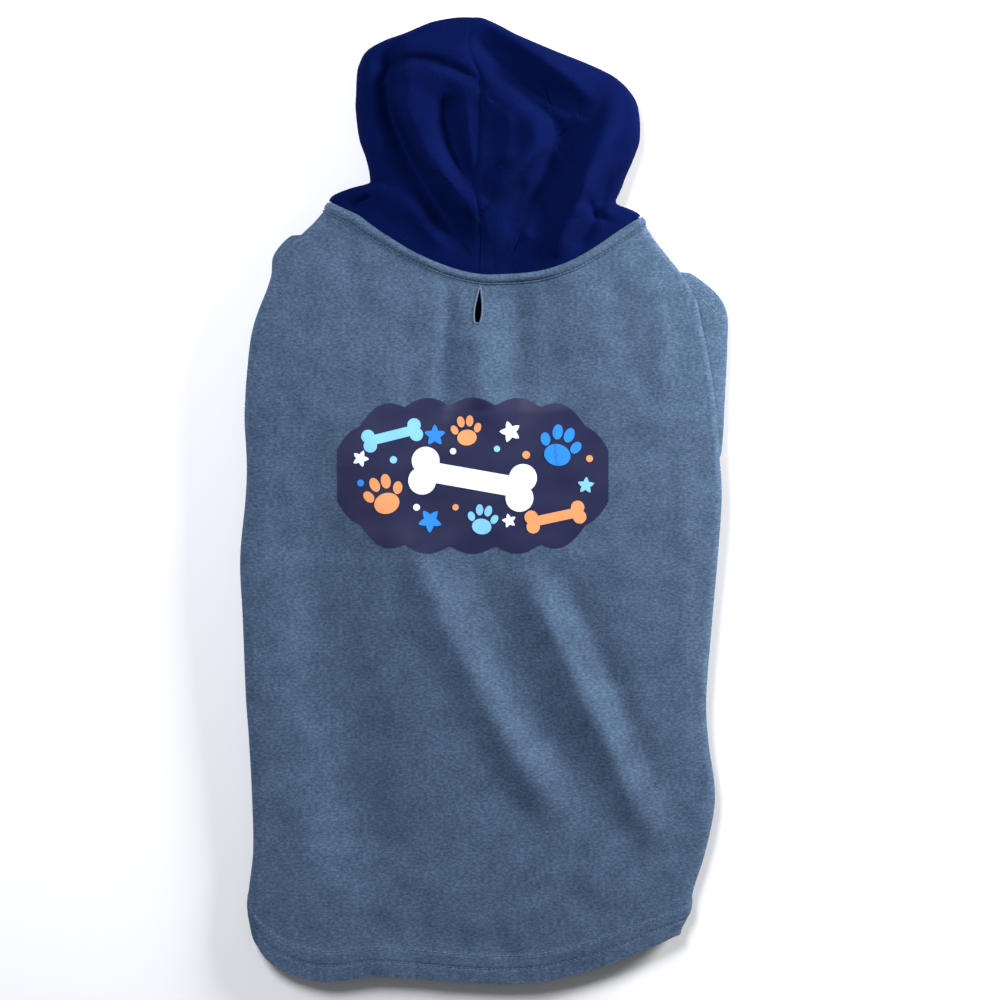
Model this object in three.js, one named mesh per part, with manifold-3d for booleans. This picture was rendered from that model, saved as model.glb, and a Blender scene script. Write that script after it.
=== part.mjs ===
// Dog hoodie laid flat with its back up, built as cloth walls that meet at their seams.
// Millimetres. X runs across the back, Y from the hem to the hood, Z up from the surface it lies on.
// Left and right are those of somebody who looks down on the back with the hood at the top.
import * as THREE from "three";
import { mergeVertices } from "three/addons/utils/BufferGeometryUtils.js";
import Module from "manifold-3d";

// Overall sizes
const BACK_LENGTH = 585; // neck seam at the middle of the back, down to the hem
const BODY_WIDTH = 396; // across the flat body
const HOOD_HEIGHT = 216; // neck seam at the middle of the back, up to the crown of the hood
const HOOD_WIDTH = 236; // across the flat hood
const NECK_RISE = 61; // climb of the neck seam from its middle to its left corner

// Cloth
const FLEECE = 2.4; // wall of the back, the belly and the hood
const SLEEVE_CLOTH = 2.2; // wall of the sleeves
const HEM_EXTRA = 0.8; // extra thickness of a turned hem
const HEM_DEPTH = 24; // depth of the turned hem, from its edge to the upper row of stitches
const SEAM_GAP = 0.3; // room left between two pieces that are sewn together

// How it lies
const EDGE_HEIGHT = 13; // height of the body where it turns round its side
const HOOD_EDGE_HEIGHT = 14; // height of the hood where it turns round its side
const SIDE_WRAP = 46; // cloth of the back that turns under each side
const HOOD_WRAP = 56; // cloth of the hood that turns under each side
const BODY_CROWN = 13; // rise of the middle of the back above its sides
const HOOD_CROWN = 25; // rise of the middle of the hood above its sides
const BODY_FOLD = 5; // height of the tallest fold of the back
const HOOD_FOLD = 11; // height of the tallest fold of the hood

// Sleeves
const SLEEVE_LENGTH = 118; // armhole to the end of the sleeve
const SLEEVE_END = 84; // flat width of the sleeve's end
const SLEEVE_HEIGHT = 9.7; // height of a sleeve that lies flat
const SLEEVE_BULGE = 23; // how far a sleeve's cap stands out from the body at most
const SLEEVE_DROP = 34; // how far a sleeve's end lies nearer to the hem than its armhole
const SEAM_ANGLE = 25; // where the back ends above an armhole, in degrees up the side
const MOUTH_INSET = 2; // how far the upper cloth of a sleeve reaches out at its armhole
const MOUTH_BEND = 3.5; // how far that cloth reaches out where it bends under the side

// Trim
const NECK_BAND = 8; // width of the stitched band under the neck seam
const NECK_BAND_CLOTH = 1.2;
const SLOT_LENGTH = 27; // open length of the leash slot
const SLOT_WIDTH = 5.2; // widest part of the leash slot, near its lower end
const SLOT_FROM_NECK = 13; // neck seam to the upper end of the leash slot
const SLOT_LEAN = 1.8; // how far the lower end of the slot lies left of its upper end
const BINDING_WIDTH = 2; // bound edge round the slot
const BINDING_HEIGHT = 0.9;
const PRINT_WIDTH = 223;
const PRINT_HEIGHT = 128;
const PRINT_FROM_NECK = 165; // neck seam to the middle of the print
const PRINT_SHIFT = -6; // middle of the print, across the back
const PRINT_INK = 0.5; // thickness of the print
const PRINT_SCALLOPS = 6; // round lobes along the upper and the lower edge of the print

// Half widths of the body as shares of half of BODY_WIDTH, going down the back as shares of BACK_LENGTH
const BODY_OUTLINE = [
  { down: -0.1, left: 0.63, right: 0.65 },
  { down: -0.075, left: 0.692, right: 0.683 },
  { down: -0.055, left: 0.753, right: 0.717 },
  { down: -0.03, left: 0.817, right: 0.775 },
  { down: -0.006, left: 0.854, right: 0.833 },
  { down: 0.034, left: 0.908, right: 0.904 },
  { down: 0.072, left: 0.948, right: 0.929 },
  { down: 0.111, left: 0.967, right: 0.954 },
  { down: 0.19, left: 0.983, right: 0.988 },
  { down: 0.268, left: 0.973, right: 1.004 },
  { down: 0.316, left: 0.979, right: 1.008 },
  { down: 0.401, left: 1.002, right: 0.992 },
  { down: 0.485, left: 0.992, right: 0.971 },
  { down: 0.598, left: 0.979, right: 0.946 },
  { down: 0.654, left: 0.967, right: 0.954 },
  { down: 0.739, left: 0.954, right: 0.983 },
  { down: 0.815, left: 0.95, right: 0.942 },
  { down: 0.869, left: 0.968, right: 0.892 },
  { down: 0.896, left: 0.971, right: 0.879 },
  { down: 0.924, left: 0.958, right: 0.838 },
];

// Neck seam and hem across the back: 1 is the side of the body, beyond 1 the cloth lies underneath.
// The neck seam climbs by shares of NECK_RISE, the hem lies down the back by shares of BACK_LENGTH.
const NECK_AND_HEM = [
  { across: -1.24, neck: 0.98, hem: 0.74 },
  { across: -1.12, neck: 0.99, hem: 0.8 },
  { across: -1.04, neck: 1, hem: 0.88 },
  { across: -1, neck: 1, hem: 0.917 },
  { across: -0.94, neck: 0.96, hem: 0.958 },
  { across: -0.86, neck: 0.9, hem: 0.979 },
  { across: -0.745, neck: 0.81, hem: 0.993 },
  { across: -0.64, neck: 0.69, hem: 0.997 },
  { across: -0.47, neck: 0.49, hem: 0.989 },
  { across: -0.32, neck: 0.297, hem: 0.991 },
  { across: -0.148, neck: 0.108, hem: 0.996 },
  { across: 0, neck: 0.013, hem: 0.999 },
  { across: 0.119, neck: 0.013, hem: 1 },
  { across: 0.285, neck: 0.054, hem: 0.997 },
  { across: 0.44, neck: 0.169, hem: 0.988 },
  { across: 0.613, neck: 0.365, hem: 0.974 },
  { across: 0.78, neck: 0.568, hem: 0.956 },
  { across: 0.95, neck: 0.76, hem: 0.934 },
  { across: 1, neck: 0.79, hem: 0.924 },
  { across: 1.04, neck: 0.79, hem: 0.885 },
  { across: 1.12, neck: 0.78, hem: 0.81 },
  { across: 1.24, neck: 0.77, hem: 0.74 },
];

// Half widths of the hood and the place of its middle seam as shares of half of HOOD_WIDTH,
// going up from the neck as shares of HOOD_HEIGHT
const HOOD_OUTLINE = [
  { up: 0.2, left: 1.02, right: 1.09, seam: 0.01 },
  { up: 0.24, left: 1.025, right: 1.03, seam: -0.01 },
  { up: 0.275, left: 1.02, right: 0.955, seam: -0.025 },
  { up: 0.32, left: 0.95, right: 0.98, seam: -0.04 },
  { up: 0.345, left: 0.79, right: 1, seam: -0.04 },
  { up: 0.37, left: 0.769, right: 1.014, seam: -0.035 },
  { up: 0.45, left: 0.797, right: 1.077, seam: -0.02 },
  { up: 0.527, left: 0.846, right: 1.123, seam: -0.01 },
  { up: 0.645, left: 0.874, right: 1.112, seam: 0.012 },
  { up: 0.702, left: 0.871, right: 1.063, seam: 0.01 },
  { up: 0.761, left: 0.867, right: 0.951, seam: 0 },
  { up: 0.805, left: 0.855, right: 0.79, seam: -0.04 },
  { up: 0.863, left: 0.797, right: 0.524, seam: -0.08 },
  { up: 0.903, left: 0.671, right: 0.35, seam: -0.08 },
  { up: 0.927, left: 0.545, right: 0.25, seam: -0.07 },
  { up: 0.954, left: 0.434, right: 0.16, seam: -0.06 },
  { up: 0.976, left: 0.33, right: 0.08, seam: -0.055 },
  { up: 1, left: 0.1, right: -0.01, seam: -0.05 },
];

// Rise of the middle above the sides, as shares of BODY_CROWN down the back and of HOOD_CROWN up the hood
const BODY_CROWN_ROWS = [
  { down: 0, rise: 0.9 },
  { down: 0.14, rise: 1 },
  { down: 0.32, rise: 0.8 },
  { down: 0.55, rise: 0.45 },
  { down: 0.85, rise: 0.3 },
  { down: 1, rise: 0.1 },
];
const HOOD_CROWN_ROWS = [
  { up: 0, rise: 0.468 },
  { up: 0.2, rise: 0.6 },
  { up: 0.5, rise: 0.95 },
  { up: 0.75, rise: 1 },
  { up: 1, rise: 0.6 },
];

// Folds run through three places. Heights are shares of HOOD_FOLD or BODY_FOLD, below 0 for a furrow.
// Hood: across and width as shares of HOOD_WIDTH from the middle, up as shares of HOOD_HEIGHT.
const HOOD_FOLDS = [
  { x1: -0.312, y1: 0.885, x2: -0.33, y2: 0.634, x3: -0.063, y3: 0.195, height: -1, width: 0.045 },
  { x1: -0.284, y1: 0.824, x2: -0.25, y2: 0.603, x3: 0, y3: 0.206, height: 0.6, width: 0.06 },
  { x1: -0.25, y1: 0.832, x2: -0.14, y2: 0.855, x3: 0, y3: 0.752, height: 0.5, width: 0.05 },
  { x1: -0.105, y1: 0.756, x2: -0.091, y2: 0.557, x3: -0.032, y3: 0.347, height: -0.35, width: 0.05 },
  { x1: 0.011, y1: 0.756, x2: 0.14, y2: 0.66, x3: 0.22, y3: 0.534, height: 0.55, width: 0.05 },
  { x1: 0.08, y1: 0.68, x2: 0.11, y2: 0.56, x3: 0.063, y3: 0.424, height: 0.45, width: 0.07 },
  { x1: 0.014, y1: 0.977, x2: 0.193, y2: 0.802, x3: 0.432, y3: 0.634, height: 0.5, width: 0.06 },
  { x1: -0.03, y1: 0.86, x2: 0.14, y2: 0.71, x3: 0.36, y3: 0.58, height: -0.85, width: 0.045 },
  { x1: 0.4, y1: 0.58, x2: 0.34, y2: 0.374, x3: 0.228, y3: 0.076, height: -0.55, width: 0.05 },
  { x1: 0.46, y1: 0.588, x2: 0.386, y2: 0.374, x3: 0.281, y3: 0.076, height: 0.5, width: 0.05 },
  { x1: 0.193, y1: 0.443, x2: 0.133, y2: 0.359, x3: 0.056, y3: 0.275, height: -0.5, width: 0.05 },
  { x1: 0.189, y1: 0.382, x2: 0.196, y2: 0.271, x3: 0.147, y3: 0.145, height: 0.4, width: 0.05 },
];
// Back: across and width as shares of half of BODY_WIDTH, down as shares of BACK_LENGTH.
const BODY_FOLDS = [
  { x1: -0.1, y1: 0.017, x2: -0.067, y2: 0.097, x3: -0.042, y3: 0.189, height: -0.4, width: 0.08 },
  { x1: 0.05, y1: 0.028, x2: 0.075, y2: 0.104, x3: 0.058, y3: 0.189, height: 0.5, width: 0.09 },
  { x1: -0.217, y1: 0.034, x2: -0.175, y2: 0.104, x3: -0.154, y3: 0.189, height: 0.45, width: 0.09 },
  { x1: -0.192, y1: 0.372, x2: -0.042, y2: 0.535, x3: 0.317, y3: 0.756, height: 0.9, width: 0.11 },
  { x1: -0.275, y1: 0.401, x2: -0.117, y2: 0.57, x3: 0.271, y3: 0.793, height: -0.7, width: 0.1 },
  { x1: 0.15, y1: 0.417, x2: 0.433, y2: 0.57, x3: 0.708, y3: 0.739, height: 1, width: 0.12 },
  { x1: 0.233, y1: 0.54, x2: 0.42, y2: 0.65, x3: 0.7, y3: 0.803, height: -0.8, width: 0.1 },
  { x1: 0.79, y1: 0.372, x2: 0.76, y2: 0.584, x3: 0.8, y3: 0.8, height: -0.6, width: 0.08 },
  { x1: -0.783, y1: 0.076, x2: -0.808, y2: 0.288, x3: -0.783, y3: 0.485, height: 0.5, width: 0.12 },
  { x1: -0.8, y1: 0.584, x2: -0.733, y2: 0.669, x3: -0.6, y3: 0.85, height: 0.6, width: 0.12 },
  { x1: -0.683, y1: 0.401, x2: -0.625, y2: 0.598, x3: -0.45, y3: 0.824, height: -0.6, width: 0.12 },
];

// Armholes as places down the sides, shares of BACK_LENGTH, and the caps of the sleeves,
// shares of SLEEVE_BULGE along the armhole
const ARMHOLES = {
  left: { from: -0.068, to: 0.178 },
  right: { from: -0.015, to: 0.265 },
};
const SLEEVE_CAPS = [
  { along: 0, left: 0.6, right: 0.6 },
  { along: 0.12, left: 0.45, right: 0.95 },
  { along: 0.25, left: 0.12, right: 1 },
  { along: 0.4, left: 0, right: 0.75 },
  { along: 0.7, left: 0, right: 0.35 },
  { along: 1, left: 0, right: 0.1 },
];

// How finely the sheets are divided
const BODY_ROWS = 28;
const HALF_COLUMNS = 10;
const SIDE_COLUMNS = 8;
const HOOD_ROWS = 11;
const BELLY_COLUMNS = 8;
const SLEEVE_AROUND = 20;
const SLEEVE_TURNS = 5;
const SLEEVE_RINGS = 5;
const BAND_COLUMNS = 16;
const PRINT_COLUMNS = 48;
const SLOT_ARC = 6;

const HALF_BODY = BODY_WIDTH / 2;
const HALF_HOOD = HOOD_WIDTH / 2;
const LIFT = SLEEVE_HEIGHT + SEAM_GAP; // how high the body lies over its folded sleeves
const OVER_LEVEL = LIFT + EDGE_HEIGHT / 2; // a height between the upper and the lower cloth of the body
const TOP_LEVEL = LIFT + EDGE_HEIGHT + 2 * (BODY_CROWN + BODY_FOLD); // a height above the whole body
const HOOD_CORNER = 5; // how square the upper corners of the hood's outline are
const DOME_CORNER = 4; // how flat the middle of the body and of the hood is, before it falls to the sides
const ARMHOLE_EASE = 0.03; // run of an armhole's curved ends, share of BACK_LENGTH
const HOOD_LIFT = { from: 0.17, to: 0.62 }; // where the hood comes down from the neck, share of HOOD_HEIGHT
const BACK_LIFT = { from: -0.34, to: -0.47 }; // where the back comes down behind the sleeves, share of BACK_LENGTH
const NECK_HOLD = 0.3; // how far up the hood its rows still follow the edge of the neck, share of its height
const NECK_WIDENING = 0.06; // how far up the hood its width changes from the neck's, share of its height
const SEAM_START = 0.2; // how far up the hood its middle seam starts to wander, share of its height
const BELLY_GAP = 3; // room between the edges of the belly and of the back, in SEAM_GAP
const CORNER_GAP = 2.5; // room between the hood and the back at a neck corner, in SEAM_GAP
const CORNER_START = 0.9; // where the neck corners start, share of half the body
const BAND_OVERHANG = 1.02; // how far the neck band runs round the sides, share of half the body
const HEM_FADE = 1.5; // where the thickness of the hem starts to grow, share of HEM_DEPTH
const DIP_CORNER = 4; // how soon the dip of the belly's neck edge fades down the belly
const CAP_ROUNDNESS = 0.75; // how evenly the armhole's curve runs down the side
const WALL_ROUNDNESS = 0.5; // how flat the two layers of a sleeve are
const PRINT_BODY = 0.9; // share of the print's height that its lobes don't add
const PRINT_END_FALL = 0.75; // how much lower the print is at its ends
const PRINT_CORNER = 5; // how late the print falls to its ends

const wasm = await Module();
wasm.setup();

function mix(from, to, share) {
  return from + (to - from) * share;
}

function ease(value, from, to) {
  return THREE.MathUtils.smoothstep(value, Math.min(from, to), Math.max(from, to));
}

// Value of a table's column at a place, smooth through its rows
function read(rows, key, column, place) {
  const last = rows.length - 1;
  const at = THREE.MathUtils.clamp(place, rows[0][key], rows[last][key]);
  let row = 0;
  while (row < last - 1 && rows[row + 1][key] < at) row += 1;
  const slope = (index) => {
    const before = rows[Math.max(index - 1, 0)];
    const after = rows[Math.min(index + 1, last)];
    return (after[column] - before[column]) / (after[key] - before[key]);
  };
  const run = rows[row + 1][key] - rows[row][key];
  const t = (at - rows[row][key]) / run;
  const start = (1 + 2 * t) * (1 - t) ** 2 * rows[row][column] + t * (1 - t) ** 2 * run * slope(row);
  const end = t * t * (3 - 2 * t) * rows[row + 1][column] + t * t * (t - 1) * run * slope(row + 1);
  return start + end;
}

// Distance in the plane from (x, y) to the stretch between two places
function distanceTo(x, y, x1, y1, x2, y2) {
  const run = (x2 - x1) ** 2 + (y2 - y1) ** 2;
  const t = THREE.MathUtils.clamp(((x - x1) * (x2 - x1) + (y - y1) * (y2 - y1)) / run, 0, 1);
  return Math.hypot(x - mix(x1, x2, t), y - mix(y1, y2, t));
}

// Height of all folds of a table at (x, y)
function foldHeight(folds, unitX, unitY, tallest, x, y) {
  let height = 0;
  for (const fold of folds) {
    const [x1, x2, x3] = [fold.x1 * unitX, fold.x2 * unitX, fold.x3 * unitX];
    const [y1, y2, y3] = [fold.y1 * unitY, fold.y2 * unitY, fold.y3 * unitY];
    const near = Math.min(distanceTo(x, y, x1, y1, x2, y2), distanceTo(x, y, x2, y2, x3, y3));
    height += fold.height * tallest * Math.exp(-((near / (fold.width * unitX)) ** 2));
  }
  return height;
}

// Cloth that turns round a side: its distance inside the outline, and its level from 1 on top to 0 below.
// travel is measured along the cloth from the outermost place, below 0 on the upper side.
function turnedEdge(travel, height, cloth) {
  const radius = (height - cloth) / 2;
  const quarter = (Math.PI / 2) * radius;
  const angle = THREE.MathUtils.clamp(travel / radius, -Math.PI / 2, Math.PI / 2);
  const inset = height / 2 - radius * Math.cos(angle) + Math.max(Math.abs(travel) - quarter, 0);
  return { inset, level: (1 - Math.sin(angle)) / 2 };
}

function quarterTurn(height, cloth) {
  return (Math.PI / 4) * (height - cloth);
}

// Height of the lowest cloth above the ground: the neck and the chest lie on the folded sleeves
function groundLift(y) {
  const fromHood = 1 - ease(y, HOOD_LIFT.from * HOOD_HEIGHT, HOOD_LIFT.to * HOOD_HEIGHT);
  const fromHem = ease(y, BACK_LIFT.to * BACK_LENGTH, BACK_LIFT.from * BACK_LENGTH);
  return LIFT * fromHood * fromHem;
}

// Rise of the middle of the garment above its sides
function crownRise(y) {
  if (y > 0) return HOOD_CROWN * read(HOOD_CROWN_ROWS, "up", "rise", y / HOOD_HEIGHT);
  return BODY_CROWN * read(BODY_CROWN_ROWS, "down", "rise", -y / BACK_LENGTH);
}

function dome(share) {
  return 1 - Math.min(share, 1) ** DOME_CORNER;
}

function bodyHalf(side, y) {
  return HALF_BODY * read(BODY_OUTLINE, "down", side, -y / BACK_LENGTH);
}

function neckY(across) {
  return NECK_RISE * read(NECK_AND_HEM, "across", "neck", across);
}

function hemY(across) {
  return -BACK_LENGTH * read(NECK_AND_HEM, "across", "hem", across);
}

// Place down the back: the hem's climb underneath the sides hardly moves the rows above it
function bodyY(across, along, neckGap) {
  const side = THREE.MathUtils.clamp(across, -1, 1);
  const climb = (hemY(across) - hemY(side)) * along ** 4;
  return mix(neckY(across) - neckGap, hemY(side), along) + climb;
}

// Height of the top of the back above its underside, between the sides
function bodyHeight(x, y) {
  const share = Math.abs(x) / bodyHalf(x < 0 ? "left" : "right", y);
  const folds = foldHeight(BODY_FOLDS, HALF_BODY, -BACK_LENGTH, BODY_FOLD, x, y);
  return EDGE_HEIGHT + crownRise(y) * dome(share) + folds * dome(share);
}

// Middle of the back's cloth: across is 1 at the side of the body, along runs from neck to hem
function bodyPoint(across, along, neckGap = SEAM_GAP / 2) {
  const side = across < 0 ? "left" : "right";
  const sign = across < 0 ? -1 : 1;
  const y = bodyY(across, along, neckGap);
  const half = bodyHalf(side, y);
  const flat = half - EDGE_HEIGHT / 2 + quarterTurn(EDGE_HEIGHT, FLEECE);
  const beyond = Math.abs(across) - 1;
  const edge = turnedEdge(beyond * (beyond < 0 ? flat : HALF_BODY), EDGE_HEIGHT, FLEECE);
  const x = sign * (half - edge.inset);
  const z = groundLift(y) + FLEECE / 2 + edge.level * (bodyHeight(x, y) - FLEECE);
  return new THREE.Vector3(x, y, z);
}

// 1 along an armhole, 0 away from it
function armholeShare(side, along) {
  const end = side === "left" ? -1 : 1;
  const down = -mix(neckY(end), hemY(end), along) / BACK_LENGTH;
  const hole = ARMHOLES[side];
  return ease(down, hole.from - ARMHOLE_EASE, hole.from) * (1 - ease(down, hole.to, hole.to + ARMHOLE_EASE));
}

// How far the back's cloth runs beyond the outermost place of its side
function wrapLength(side, along) {
  const radius = (EDGE_HEIGHT - FLEECE) / 2;
  const seam = -THREE.MathUtils.degToRad(SEAM_ANGLE) * radius;
  return mix(SIDE_WRAP, seam, armholeShare(side, along));
}

// Cloth beyond the upper start of a side's turn, one value for each column round the side
function sideTravels(height, wrap) {
  const quarter = quarterTurn(height, FLEECE);
  const turns = SIDE_COLUMNS - 2;
  const travels = [];
  for (let step = 1; step <= turns; step += 1) travels.push((2 * quarter * step) / turns);
  for (let step = 1; step <= 2; step += 1) travels.push(2 * quarter + ((wrap - quarter) * step) / 2);
  return travels;
}

// Places across one half of the back for a row, from the middle to the edge underneath
function halfAcross(side, along) {
  const quarter = quarterTurn(EDGE_HEIGHT, FLEECE);
  const start = 1 - quarter / HALF_BODY;
  const reach = (wrapLength(side, along) + quarter) / (SIDE_WRAP + quarter);
  const places = [];
  for (let column = 0; column <= HALF_COLUMNS; column += 1) places.push((start * column) / HALF_COLUMNS);
  for (const travel of sideTravels(EDGE_HEIGHT, SIDE_WRAP)) places.push(start + (travel * reach) / HALF_BODY);
  return places;
}

function bodyAcross(along) {
  const left = halfAcross("left", along).map((place) => -place);
  return [...left.reverse(), ...halfAcross("right", along).slice(1)];
}

// Closed wall of cloth about a grid of places on its middle surface. Where it is sewn to a neighbour,
// before and after hold the neighbour's nearest column, so that both walls end square to each other.
function clothWall(grid, thicknessAt, { closed = false, offset = 0, before, after } = {}) {
  const rows = grid.length;
  const columns = grid[0].length;
  const wrap = (column) => (column + columns) % columns;
  const positions = [];
  for (const face of [1, -1]) {
    for (let row = 0; row < rows; row += 1) {
      for (let column = 0; column < columns; column += 1) {
        let previous = grid[row][closed ? wrap(column - 1) : Math.max(column - 1, 0)];
        let next = grid[row][closed ? wrap(column + 1) : Math.min(column + 1, columns - 1)];
        if (before && column === 0) previous = before[row];
        if (after && column === columns - 1) next = after[row];
        const alongRow = next.clone().sub(previous);
        const down = grid[Math.min(row + 1, rows - 1)][column].clone();
        down.sub(grid[Math.max(row - 1, 0)][column]);
        const normal = down.cross(alongRow).normalize();
        const place = grid[row][column].clone();
        place.addScaledVector(normal, offset + (face * thicknessAt(row, column)) / 2);
        positions.push(place.x, place.y, place.z);
      }
    }
  }
  const index = [];
  const at = (face, row, column) => (face * rows + row) * columns + wrap(column);
  const quad = (a, b, c, d) => index.push(a, b, c, a, c, d);
  const spans = closed ? columns : columns - 1;
  for (let row = 0; row < rows - 1; row += 1) {
    for (let column = 0; column < spans; column += 1) {
      quad(at(0, row, column), at(0, row + 1, column), at(0, row + 1, column + 1), at(0, row, column + 1));
      quad(at(1, row, column), at(1, row, column + 1), at(1, row + 1, column + 1), at(1, row + 1, column));
    }
  }
  for (let column = 0; column < spans; column += 1) {
    quad(at(0, 0, column), at(0, 0, column + 1), at(1, 0, column + 1), at(1, 0, column));
    const row = rows - 1;
    quad(at(0, row, column + 1), at(0, row, column), at(1, row, column), at(1, row, column + 1));
  }
  if (!closed) {
    for (let row = 0; row < rows - 1; row += 1) {
      quad(at(0, row + 1, 0), at(0, row, 0), at(1, row, 0), at(1, row + 1, 0));
      const column = columns - 1;
      quad(at(0, row, column), at(0, row + 1, column), at(1, row + 1, column), at(1, row, column));
    }
  }
  const geometry = new THREE.BufferGeometry();
  geometry.setAttribute("position", new THREE.Float32BufferAttribute(positions, 3));
  geometry.setIndex(index);
  return geometry;
}

function toManifold(geometry) {
  const bare = new THREE.BufferGeometry();
  bare.setAttribute("position", geometry.getAttribute("position"));
  bare.setIndex(geometry.getIndex());
  const merged = mergeVertices(bare);
  return new wasm.Manifold(new wasm.Mesh({
    numProp: 3,
    vertProperties: new Float32Array(merged.getAttribute("position").array),
    triVerts: new Uint32Array(merged.getIndex().array),
  }));
}

function fromManifold(solid) {
  const mesh = solid.getMesh();
  const geometry = new THREE.BufferGeometry();
  geometry.setAttribute("position", new THREE.BufferAttribute(mesh.vertProperties, 3));
  geometry.setIndex(new THREE.BufferAttribute(mesh.triVerts, 1));
  return geometry;
}

// Outline of the leash slot in the plane: pointed at the top, round and widest near the bottom
function slotOutline(margin) {
  const radius = SLOT_WIDTH / 2;
  const topY = neckY(0) - SLOT_FROM_NECK;
  const centreY = topY - SLOT_LENGTH + radius;
  const places = [new THREE.Vector2(0, topY + margin * 2)];
  for (let step = 0; step <= SLOT_ARC; step += 1) {
    const angle = Math.PI - (Math.PI * step) / SLOT_ARC;
    const x = -SLOT_LEAN - (radius + margin) * Math.cos(angle + Math.PI);
    places.push(new THREE.Vector2(x, centreY - (radius + margin) * Math.sin(angle)));
  }
  return places;
}

// Upright prism over an outline between two heights
function prism(outline, low, high, hole) {
  const shape = new THREE.Shape(outline);
  if (hole) shape.holes.push(new THREE.Path(hole));
  const geometry = new THREE.ExtrudeGeometry(shape, { depth: high - low, bevelEnabled: false });
  geometry.translate(0, 0, low);
  const bare = new THREE.BufferGeometry();
  bare.setAttribute("position", geometry.getAttribute("position"));
  return toManifold(mergeVertices(bare));
}

function backGrid() {
  const grid = [];
  for (let row = 0; row <= BODY_ROWS; row += 1) {
    const along = row / BODY_ROWS;
    grid.push(bodyAcross(along).map((across) => bodyPoint(across, along)));
  }
  return grid;
}

function backPanel() {
  const hemShare = HEM_DEPTH / BACK_LENGTH;
  const extraAt = (row) => HEM_EXTRA * ease(row / BODY_ROWS, 1 - hemShare * HEM_FADE, 1 - hemShare);
  const grid = backGrid();
  grid.forEach((places, row) => places.forEach((place) => place.setZ(place.z + extraAt(row) / 2)));
  const wall = toManifold(clothWall(grid, (row) => FLEECE + extraAt(row)));
  return fromManifold(wall.subtract(prism(slotOutline(0), OVER_LEVEL, TOP_LEVEL)));
}

// Piece that lies on the back: a layer over its cloth, trimmed to an outline in the plane
function layerOnBack(thickness, outline, hole) {
  const offset = FLEECE / 2 + SEAM_GAP + thickness / 2;
  const layer = toManifold(clothWall(backGrid(), () => thickness, { offset }));
  return fromManifold(layer.intersect(prism(outline, OVER_LEVEL, TOP_LEVEL, hole)));
}

function leashSlotBinding() {
  return layerOnBack(BINDING_HEIGHT, slotOutline(BINDING_WIDTH), slotOutline(0));
}

// Runs just below the neck seam, from one side of the body to the other
function neckBand() {
  const upper = [];
  const lower = [];
  for (let column = -BAND_COLUMNS; column <= BAND_COLUMNS; column += 1) {
    const across = column / BAND_COLUMNS;
    const y = neckY(across);
    const half = bodyHalf(across < 0 ? "left" : "right", y);
    upper.push(new THREE.Vector2(across * half * BAND_OVERHANG, y + NECK_BAND));
    lower.push(new THREE.Vector2(across * half * BAND_OVERHANG, y - NECK_BAND));
  }
  return layerOnBack(NECK_BAND_CLOTH, [...lower, ...upper.reverse()]);
}

// Distance of the belly's edge inside the outline: beside the back's edge, or at the mouth of a sleeve
function bellyInset(side, along) {
  const near = [-1, 0, 1].map((step) => wrapLength(side, along + step * ARMHOLE_EASE));
  const underneath = turnedEdge(Math.max(...near), EDGE_HEIGHT, FLEECE).inset;
  return Math.max(underneath, (EDGE_HEIGHT + FLEECE) / 2) + BELLY_GAP * SEAM_GAP;
}

function bellyPanel() {
  const grid = [];
  const end = 1 + SIDE_WRAP / HALF_BODY;
  for (let row = 0; row <= BODY_ROWS; row += 1) {
    const along = row / BODY_ROWS;
    const leftY = bodyY(-end, along, SEAM_GAP / 2);
    const rightY = bodyY(end, along, SEAM_GAP / 2);
    const left = -(bodyHalf("left", leftY) - bellyInset("left", along));
    const right = bodyHalf("right", rightY) - bellyInset("right", along);
    const places = [];
    for (let column = 0; column <= BELLY_COLUMNS; column += 1) {
      const across = column / BELLY_COLUMNS;
      const dip = NECK_RISE * (1 - along) ** DIP_CORNER * Math.sin(Math.PI * across);
      const y = mix(leftY, rightY, across) - dip;
      places.push(new THREE.Vector3(mix(left, right, across), y, groundLift(y) + FLEECE / 2));
    }
    grid.push(places);
  }
  return clothWall(grid, () => FLEECE);
}

// Hood

// Rounded-square distance: 1 on the outline of the hood
function hoodReach(across, up) {
  return (across ** HOOD_CORNER + up ** HOOD_CORNER) ** (1 / HOOD_CORNER);
}

// Place in the plane for shares across and up inside the hood's outline
function hoodPlan(side, across, up) {
  const sign = side === "left" ? -1 : 1;
  const bottom = neckY(sign * across) + SEAM_GAP / 2;
  const y = mix(bottom, HOOD_HEIGHT, up);
  const share = y / HOOD_HEIGHT;
  const seam = HALF_HOOD * read(HOOD_OUTLINE, "up", "seam", share) * ease(share, 0, SEAM_START);
  const edge = HALF_HOOD * read(HOOD_OUTLINE, "up", side, share);
  const neckEdge = bodyHalf(side, y);
  const half = mix(neckEdge, edge, ease(up, 0, NECK_WIDENING)) - sign * seam;
  const widest = Math.max(1 - up ** HOOD_CORNER, 1e-4) ** (1 / HOOD_CORNER);
  return { x: seam + (sign * across * half) / widest, y };
}

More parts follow.
